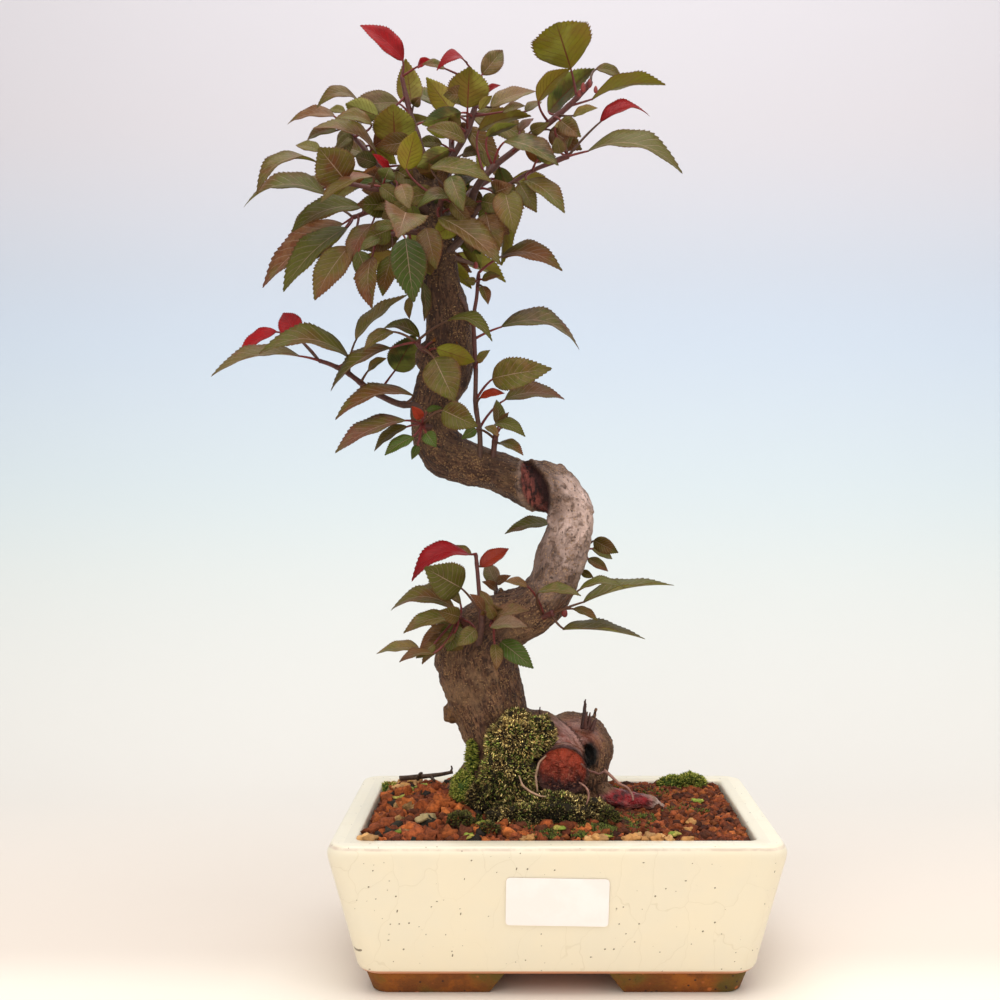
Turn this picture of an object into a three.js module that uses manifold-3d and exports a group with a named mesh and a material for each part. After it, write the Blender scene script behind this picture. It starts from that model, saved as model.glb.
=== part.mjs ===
// An apple bonsai in a cream glazed pot, in millimetres, +Z up.
// The plant's points are given as they are seen from EYE: x and z where the line of sight crosses
// the upright plane through the middle of the pot, and y as the real depth behind that plane.
import * as THREE from "three";
import { mergeVertices } from "three/addons/utils/BufferGeometryUtils.js";
import Module from "manifold-3d";

const wasm = await Module();
wasm.setup();

// Driving dimensions: the pot. Its feet reach a little below the level that heights count from.
const POT = { length: 200, depth: 140, height: 68 };
const RIM_WIDTH = 12;
const WALL_TAPER = 12;
const RIM = { bevel: 1.8, round: 2 };
const BASE = { inset: 4, strip: 1.2, bulge: 0.8, bulgeHeight: 4 };
const INSIDE_TAPER = 8;
const CORNER = 10;
const OPEN_CORNER = 4;
const FLOOR_TOP = 17;
const FOOT = { floor: -2, height: 8, width: 12, taper: 6, setback: 2, sunk: 1 };
const NOTCH = { front: 25, side: 15, chamfer: 1.5, inset: 3 };
const DRAIN = { radius: 9, x: 40 };
const SCREEN = { size: 28, thick: 1.2, holes: 3, hole: 6, pitch: 8 };
const WIRE = { radius: 0.7, leg: 7, reach: 16, bend: 1.5 };
const LABEL = { width: 44.8, height: 22.4, corner: 1.5, thick: 0.4, z: 43, tilt: -1 };

// Driving dimensions: the soil and the plant.
const GAP = 0.3;
const SOIL = { edge: 65.6, rise: 5.5, x: -20, y: 8, spreadX: 48, spreadY: 30, fade: 14 };
const GRAIN = { coarse: 1.3, fine: 0.7, fade: 8, cells: [25, 16] };
const EYE = new THREE.Vector3(-13.3, -646, 227.4);
const BLADE = { thick: 0.7, widthShare: 0.48, fold: 0.3, small: 28 };
const STALK_RADIUS = 0.65;
const STALK_SUNK = 0.4;
const TIP_SETBACK = 1.3;
const ASIDE = [0, -3, 3, -6, 6, -9, 9, -12, 12, -15, 15, -18, 18];
const LEAF_BALL = 2.1;
const STALK_BALL = 1.5;

const half = (n) => n / 2;
const radians = THREE.MathUtils.degToRad;
const lerp = THREE.MathUtils.lerp;

// A seeded draw between 0 and 1, the same on every run.
function dice(seed) {
  let state = seed;
  return () => {
    state = (state * 16807) % 2147483647;
    return state / 2147483647;
  };
}

function solid(geometry) {
  const bare = new THREE.BufferGeometry();
  bare.setAttribute("position", geometry.getAttribute("position"));
  bare.setIndex(geometry.getIndex());
  const merged = mergeVertices(bare, 1e-4);
  return new wasm.Manifold(
    new wasm.Mesh({
      numProp: 3,
      vertProperties: merged.attributes.position.array,
      triVerts: new Uint32Array(merged.index.array),
    }),
  );
}

function geometryOf(body) {
  const mesh = body.getMesh();
  const geometry = new THREE.BufferGeometry();
  geometry.setAttribute("position", new THREE.BufferAttribute(mesh.vertProperties, 3));
  geometry.setIndex(new THREE.BufferAttribute(mesh.triVerts, 1));
  geometry.computeVertexNormals();
  return geometry;
}

const bonsai = new THREE.Group();

function addPiece(name, body, color, roughness, metalness = 0) {
  const material = new THREE.MeshStandardMaterial({ color, roughness, metalness });
  const mesh = new THREE.Mesh(geometryOf(body), material);
  mesh.name = name;
  bonsai.add(mesh);
}

function box(x, y, z, place) {
  return solid(new THREE.BoxGeometry(x, y, z).translate(...place));
}

// A closed block through level rounded rectangles, each given as [z, half length, half depth, corner].
function loft(levels) {
  const arcSteps = 2;
  const ring = ([z, a, b, r]) => {
    const points = [];
    for (let corner = 0; corner < 4; corner += 1) {
      const sx = corner === 0 || corner === 3 ? 1 : -1;
      const sy = corner < 2 ? 1 : -1;
      for (let k = 0; k <= arcSteps; k += 1) {
        const turn = half(Math.PI) * (corner + k / arcSteps);
        points.push(sx * (a - r) + r * Math.cos(turn), sy * (b - r) + r * Math.sin(turn), z);
      }
    }
    return points;
  };
  const count = 4 * (arcSteps + 1);
  const index = [];
  for (let level = 0; level < levels.length - 1; level += 1) {
    for (let k = 0; k < count; k += 1) {
      const a = level * count + k;
      const b = level * count + ((k + 1) % count);
      index.push(a, b, b + count, a, b + count, a + count);
    }
  }
  const top = (levels.length - 1) * count;
  for (let k = 1; k < count - 1; k += 1) {
    index.push(0, k + 1, k, top, top + k, top + k + 1);
  }
  const geometry = new THREE.BufferGeometry();
  geometry.setAttribute("position", new THREE.Float32BufferAttribute(levels.flatMap(ring), 3));
  geometry.setIndex(index);
  return solid(geometry);
}

// The pot.
const rimX = half(POT.length);
const rimY = half(POT.depth);
const baseX = rimX - WALL_TAPER;
const baseY = rimY - WALL_TAPER;
const openX = rimX - RIM_WIDTH;
const openY = rimY - RIM_WIDTH;
const floorX = openX - INSIDE_TAPER;
const floorY = openY - INSIDE_TAPER;

function cavity(gap, top) {
  const lean = (top - POT.height) * (INSIDE_TAPER / (POT.height - FLOOR_TOP));
  return loft([
    [FLOOR_TOP + gap, floorX - gap, floorY - gap, OPEN_CORNER],
    [top, openX + lean - gap, openY + lean - gap, OPEN_CORNER],
  ]);
}

function footRing() {
  const topX = baseX - FOOT.setback;
  const topY = baseY - FOOT.setback;
  let ring = loft([
    [FOOT.floor, topX - FOOT.taper, topY - FOOT.taper, CORNER],
    [FOOT.height + FOOT.sunk, topX, topY, CORNER],
  ]);
  const inside = [topX - FOOT.width, topY - FOOT.width, OPEN_CORNER];
  ring = ring.subtract(loft([[FOOT.floor - 1, ...inside], [FOOT.height, ...inside]]));
  const notch = (opening) => {
    const outline = new THREE.Shape();
    outline.moveTo(-opening - FOOT.taper, FOOT.floor - 1);
    outline.lineTo(opening + FOOT.taper, FOOT.floor - 1);
    outline.lineTo(opening + 1, FOOT.height - NOTCH.chamfer);
    outline.lineTo(opening + 1 - NOTCH.inset, FOOT.height);
    outline.lineTo(NOTCH.inset - 1 - opening, FOOT.height);
    outline.lineTo(-opening - 1, FOOT.height - NOTCH.chamfer);
    const depth = POT.length + 20;
    const cut = new THREE.ExtrudeGeometry(outline, { depth, bevelEnabled: false });
    return cut.translate(0, 0, -half(depth)).rotateX(half(Math.PI));
  };
  const sideNotch = notch(NOTCH.side).rotateZ(half(Math.PI));
  return ring.subtract(solid(notch(NOTCH.front))).subtract(solid(sideNotch));
}

function pot() {
  let body = loft([
    [FOOT.height, baseX - BASE.inset, baseY - BASE.inset, CORNER - 1],
    [FOOT.height + BASE.strip, baseX - BASE.strip, baseY - BASE.strip, CORNER],
    [FOOT.height + BASE.bulgeHeight, baseX + BASE.bulge, baseY + BASE.bulge, CORNER],
    [POT.height - RIM.round, rimX, rimY, CORNER],
    [POT.height, rimX - RIM.bevel, rimY - RIM.bevel, CORNER - 1],
  ]);
  body = body.add(footRing());
  body = body.subtract(cavity(0, POT.height + 2));
  for (const side of [-1, 1]) {
    const hole = new THREE.CylinderGeometry(DRAIN.radius, DRAIN.radius, 20, 16);
    body = body.subtract(solid(hole.rotateX(half(Math.PI)).translate(side * DRAIN.x, 0, FLOOR_TOP)));
  }
  return body;
}

function label() {
  const { width, height, corner, thick } = LABEL;
  const outline = new THREE.Shape();
  const [a, b] = [half(width), half(height)];
  outline.absarc(a - corner, b - corner, corner, 0, half(Math.PI));
  outline.absarc(corner - a, b - corner, corner, half(Math.PI), Math.PI);
  outline.absarc(corner - a, corner - b, corner, Math.PI, 1.5 * Math.PI);
  outline.absarc(a - corner, corner - b, corner, 1.5 * Math.PI, 2 * Math.PI);
  const plate = new THREE.ExtrudeGeometry(outline, { depth: thick, bevelEnabled: false, curveSegments: 1 });
  const wallFoot = FOOT.height + BASE.bulgeHeight;
  const wallHeight = POT.height - RIM.round - wallFoot;
  const slope = Math.atan2(WALL_TAPER - BASE.bulge, wallHeight);
  const wallY = lerp(baseY + BASE.bulge, rimY, (LABEL.z - wallFoot) / wallHeight);
  plate.rotateZ(radians(LABEL.tilt));
  plate.translate(0, 0, GAP);
  plate.rotateX(half(Math.PI) + slope);
  return solid(plate.translate(0, -wallY, LABEL.z));
}

// The drain screens and the wire clips that hold them.
function screen(x) {
  const middle = FLOOR_TOP + GAP + half(SCREEN.thick);
  let plate = box(SCREEN.size, SCREEN.size, SCREEN.thick, [x, 0, middle]);
  const first = -half((SCREEN.holes - 1) * SCREEN.pitch);
  for (let i = 0; i < SCREEN.holes; i += 1) {
    for (let j = 0; j < SCREEN.holes; j += 1) {
      const place = [x + first + i * SCREEN.pitch, first + j * SCREEN.pitch, middle];
      plate = plate.subtract(box(SCREEN.hole, SCREEN.hole, 4, place));
    }
  }
  return plate;
}

function wireClip(x) {
  const low = FOOT.height - GAP - WIRE.radius;
  const high = FLOOR_TOP + GAP + SCREEN.thick + GAP + WIRE.radius;
  const path = new THREE.CurvePath();
  const corners = [[-WIRE.reach, low], [-WIRE.leg, low], [-WIRE.leg, high], [WIRE.leg, high]];
  corners.push([WIRE.leg, low], [WIRE.reach, low]);
  const points = corners.map(([dx, z]) => new THREE.Vector3(x + dx, 0, z));
  let from = points[0];
  for (let k = 1; k < points.length - 1; k += 1) {
    const before = points[k].clone().lerp(points[k - 1], WIRE.bend / points[k].distanceTo(points[k - 1]));
    const after = points[k].clone().lerp(points[k + 1], WIRE.bend / points[k].distanceTo(points[k + 1]));
    path.add(new THREE.LineCurve3(from, before));
    path.add(new THREE.QuadraticBezierCurve3(before, points[k], after));
    from = after;
  }
  path.add(new THREE.LineCurve3(from, points[points.length - 1]));
  const section = new THREE.Shape().absarc(0, 0, WIRE.radius, 0, 2 * Math.PI);
  return solid(new THREE.ExtrudeGeometry(section, { steps: 22, curveSegments: 2, extrudePath: path }));
}

// A point of the plant: the place seen at x, z on the middle plane, moved along the line of sight.
function seen(x, y, z) {
  const onPlane = new THREE.Vector3(x, 0, z);
  return onPlane.sub(EYE).multiplyScalar(1 - y / EYE.y).add(EYE);
}

function bark(turn, along) {
  return 1 + 0.05 * Math.sin(3 * turn + 9 * along) + 0.03 * Math.sin(5 * turn - 20 * along);
}

const smooth = () => 1;

function limbPath(points) {
  return new THREE.CatmullRomCurve3(points.map((p) => seen(...p)), false, "catmullrom", 0.5);
}

// A closed round limb along points, with a radius at each, swollen by grow.
function limb(points, radii, sides, steps, grow = 0, surface = smooth) {
  const path = limbPath(points);
  const span = path.points[points.length - 1].clone().sub(path.points[0]).normalize();
  const guide = Math.abs(span.y) < 0.8 ? new THREE.Vector3(0, 1, 0) : new THREE.Vector3(0, 0, 1);
  const tube = new THREE.CylinderGeometry(1, 1, 1, sides, steps);
  const spots = tube.getAttribute("position");
  for (let i = 0; i < spots.count; i += 1) {
    const along = THREE.MathUtils.clamp(spots.getY(i) + 0.5, 0, 1);
    const tangent = path.getTangent(along);
    const normal = guide.clone().addScaledVector(tangent, -guide.dot(tangent)).normalize();
    const across = new THREE.Vector3().crossVectors(normal, tangent);
    const step = along * (radii.length - 1);
    const k = Math.min(Math.floor(step), radii.length - 2);
    const turn = Math.atan2(spots.getZ(i), spots.getX(i));
    const radius = lerp(radii[k], radii[k + 1], step - k) * surface(turn, along) + grow;
    const spot = path.getPoint(along);
    spot.addScaledVector(normal, spots.getX(i) * radius);
    spot.addScaledVector(across, spots.getZ(i) * radius);
    if (along === 0) spot.addScaledVector(tangent, -grow);
    if (along === 1) spot.addScaledVector(tangent, grow);
    spots.setXYZ(i, spot.x, spot.y, spot.z);
  }
  return solid(tube);
}

// A knot, a knob or a lump: a squashed ball of few faces, with an uneven surface.
function lump([x, y, z], size, grow = 0, detail = 1, rough = 0.06) {
  const ball = new THREE.IcosahedronGeometry(1, detail);
  const spots = ball.getAttribute("position");
  for (let i = 0; i < spots.count; i += 1) {
    const [px, py, pz] = [spots.getX(i), spots.getY(i), spots.getZ(i)];
    const wave = Math.sin(5.1 * px + 1.7 * x) * Math.cos(4.3 * pz + z) + Math.sin(6 * py + x);
    const [a, b, c] = size.map((n) => n * (1 + rough * wave) + grow);
    spots.setXYZ(i, px * a, py * b, pz * c);
  }
  const middle = seen(x, y, z);
  return solid(ball.translate(middle.x, middle.y, middle.z));
}

const join = (bodies) => bodies.reduce((whole, body) => whole.add(body));

// The trunk: one grown piece, from the roots in the soil to the dead snag at its top.
const TRUNK = [
  [-27, 0, 58, 19], [-27, 0, 76, 19], [-26, 0, 96, 14.5], [-31, 0, 115, 17], [-37, -1, 134, 19],
  [-36, -2, 149, 17.5], [-25, -3, 157, 14], [-11, -4, 163, 12.5], [-1, -4, 174, 11.5], [4, -3, 189, 11.8],
  [8, -2, 203, 10.7], [8, -1, 213, 10.2], [1, 0, 220.5, 11.6], [-8, 1, 223.5, 12.4], [-18, 2, 226, 10.2],
  [-30, 4, 231, 9.6], [-42, 5, 234, 10.6], [-53, 6, 239.5, 12], [-60, 5, 252, 9.6], [-58, 4, 266, 11],
  [-52, 2, 281, 12.3], [-51, 1, 300, 11], [-54, 0, 320, 9.3], [-55, 0, 336, 7.5], [-58, 0, 353, 6.5],
  [-63, 0, 378, 4.5],
];
const ROOTS = [
  [[[-24, 0, 110], [-10, -2, 106], [1, -5, 98], [4, -13, 89], [4, -23, 85.5]], [8, 9, 11, 12, 12]],
  [[[-14, 2, 100], [2, 2, 104], [12, 1, 104], [19, -3, 98], [19, -5, 86], [18, -6, 64]], [9, 9, 9.5, 9, 7, 5]],
  [[[16, -6, 88], [22, -7, 77], [32, -6, 71.5], [44, -5, 71], [56, -2, 64]], [5, 4.6, 4.8, 3.6, 2]],
  [[[-32, -4, 92], [-44, -9, 78], [-56, -12, 66], [-64, -14, 54]], [8, 7, 5, 3]],
  [[[-34, 6, 90], [-46, 22, 78], [-56, 34, 70], [-62, 40, 60]], [7, 5, 4, 2.5]],
  [[[-14, 8, 92], [-2, 24, 80], [10, 36, 72], [20, 42, 62]], [7, 5, 4, 2.5]],
  [[[-24, -6, 92], [-26, -12, 78], [-29, -16, 62]], [8, 6, 4]],
];
const ROOT_CROWN = { middle: [-6, 0, 84], size: [26, 15, 22] };
const KNOBS = [
  [[-49, -3, 114], [4.5, 5, 4.5]], [[-57, -2, 150], [4, 4, 5]], [[-49, -6, 139], [8.5, 9, 10]],
  [[1, -7, 176], [9, 9, 9]], [[15.5, -4, 212], [3.5, 4, 3.5]], [[3, 1, 230.5], [2.6, 3, 4]],
  [[-62, -2, 286], [5, 6, 7]], [[-45, 0, 302], [5, 6, 6]],
];
const SNAGS = [
  [[[-56, -2, 152], [-60, -3, 160]], [2.5, 1]],
  [[[15, 0, 106], [15, -1, 120]], [1.6, 0.9]],
  [[[18, 2, 104], [20, 2, 116]], [1.5, 0.9]],
  [[[-60, -3, 366], [-71, -5, 381]], [4, 2]],
  [[[-26, -3, 160], [-26, -3, 174]], [2, 1]],
];
const STUB_HOLE = { middle: [16, -14, 93], size: [3.5, 7, 5.5] };
const TRUNK_FACES = { around: 12, along: 36 };
const WOUND = { x: -8, z: 222, size: [4.6, 5, 13], lean: -24, lip: 2.4, lipY: -8.5, holeY: -13.5 };

function woundBall(y, swell) {
  const ball = new THREE.IcosahedronGeometry(1, 1);
  const [a, b, c] = WOUND.size;
  ball.scale(a + swell, b, c + swell).rotateY(radians(WOUND.lean));
  const middle = seen(WOUND.x, y, WOUND.z);
  return solid(ball.translate(middle.x, middle.y, middle.z));
}

function roots(grow) {
  return join(ROOTS.map(([points, radii]) => limb(points, radii, 6, points.length, grow)));
}

function trunk(grow = 0) {
  const points = TRUNK.map((row) => row.slice(0, 3));
  const radii = TRUNK.map((row) => row[3]);
  let body = limb(points, radii, TRUNK_FACES.around, TRUNK_FACES.along, grow, bark).add(roots(grow));
  body = body.add(lump(ROOT_CROWN.middle, ROOT_CROWN.size, grow));
  for (const [middle, size] of KNOBS) {
    body = body.add(lump(middle, size, grow, size[2] > 9 ? 1 : 0));
  }
  for (const [path, ends] of SNAGS) {
    body = body.add(limb(path, ends, 5, 1, grow));
  }
  if (grow > 0) return body;
  body = body.add(woundBall(WOUND.lipY, WOUND.lip)).subtract(woundBall(WOUND.holeY, 0));
  return body.subtract(lump(STUB_HOLE.middle, STUB_HOLE.size));
}

// The soil: granules as an uneven surface, which is plain under the moss and the dead twig.
function soilLevel(x, y) {
  const hump = Math.exp(-half(((x - SOIL.x) / SOIL.spreadX) ** 2) - half(((y - SOIL.y) / SOIL.spreadY) ** 2));
  const edge = Math.min(1, (openX - Math.abs(x)) / SOIL.fade, (openY - Math.abs(y)) / SOIL.fade);
  return SOIL.edge + SOIL.rise * hump * Math.max(0, edge);
}

const MOSS_MOUND = [
  [[-22, -20, 82], [15, 9, 15]], [[-4, -25, 68], [26, 8, 7.5]], [[-19, -18, 99], [15, 9, 13]],
  [[-18, -15, 107], [9, 8, 8.5]],
];
const MOSS_STRIP = [[[-40, -8, 90], [4, 8, 13]], [[-44, -12, 77], [6, 8, 9]]];
const MOSS_TUFT = [[[57, 50, 79], [8, 6, 5]], [[66, 50, 79.5], [8, 6, 5.5]]];
const MOSS_PATCH = [[[-79, 48, 76], [6, 7, 4]], [[-72, 50, 76], [6, 6, 4]]];
const TWIG = [[-76, 40, 78], [-66, 41, 81.5], [-57, 42, 83.5], [-48, 43, 82]];
const PLAIN_SPOTS = [
  [-12, -20, 30], [14, -20, 14], [-46, -16, 14], [62, 50, 14], [-75, 49, 12], [-72, 42, 12], [-54, 45, 12],
];

function relief(x, y) {
  const bare = PLAIN_SPOTS.map(([px, py, reach]) => (Math.hypot(x - px, y - py) - reach) / GRAIN.fade);
  const size = lerp(GRAIN.coarse, GRAIN.fine, (x + openX) / (2 * openX));
  return THREE.MathUtils.clamp(Math.min(...bare), 0, 1) * size;
}

function soilBlock(lift) {
  const roll = dice(41);
  const [across, deep] = GRAIN.cells;
  const height = 100;
  const block = new THREE.BoxGeometry(2 * openX, 2 * openY, height, across, deep, 1);
  const spots = block.getAttribute("position");
  const drawn = new Map();
  for (let i = 0; i < spots.count; i += 1) {
    const [x, y] = [spots.getX(i), spots.getY(i)];
    const key = `${x.toFixed(2)},${y.toFixed(2)}`;
    if (!drawn.has(key)) drawn.set(key, 2 * roll() - 1);
    const top = spots.getZ(i) > 0;
    spots.setZ(i, top ? soilLevel(x, y) + relief(x, y) * drawn.get(key) + lift : 0);
  }
  return solid(block);
}

function screenRoom(x) {
  const roomy = SCREEN.size + 2 * GAP;
  const top = FLOOR_TOP + 2 * GAP + SCREEN.thick;
  const wireTop = top + 2 * WIRE.radius + GAP;
  const plate = box(roomy, roomy, 4, [x, 0, top - 2]);
  const wireWidth = 2 * (WIRE.radius + GAP);
  return plate.add(box(2 * WIRE.leg + wireWidth, wireWidth, 6, [x, 0, wireTop - 3]));
}

const grownTrunk = trunk(GAP);
const raisedSoil = soilBlock(GAP);

function soil() {
  let body = soilBlock(0).intersect(cavity(GAP, POT.height + 20)).subtract(grownTrunk);
  for (const side of [-1, 1]) body = body.subtract(screenRoom(side * DRAIN.x));
  return body;
}

// Moss lies on the soil and against the trunk and the pot.
function moss(lumps) {
  const whole = join(lumps.map(([middle, size]) => lump(middle, size, 0, 1, 0.1)));
  return whole.subtract(grownTrunk).subtract(raisedSoil).intersect(cavity(GAP, POT.height + 120));
}

function deadTwig() {
  const main = limb(TWIG, [1.5, 1.4, 1.2, 0.9], 5, 4);
  const sideTwigs = [
    [[[-66, 41, 81.5], [-64, 36, 86], [-60, 33, 88]], [1, 0.8, 0.6]],
    [[[-57, 42, 83.5], [-52, 46, 88]], [0.9, 0.6]],
    [[[-60, 42, 83], [-58, 36, 81]], [0.9, 0.7]],
  ];
  const whole = join([main, ...sideTwigs.map(([points, radii]) => limb(points, radii, 4, 1))]);
  return whole.subtract(raisedSoil);
}

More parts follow.
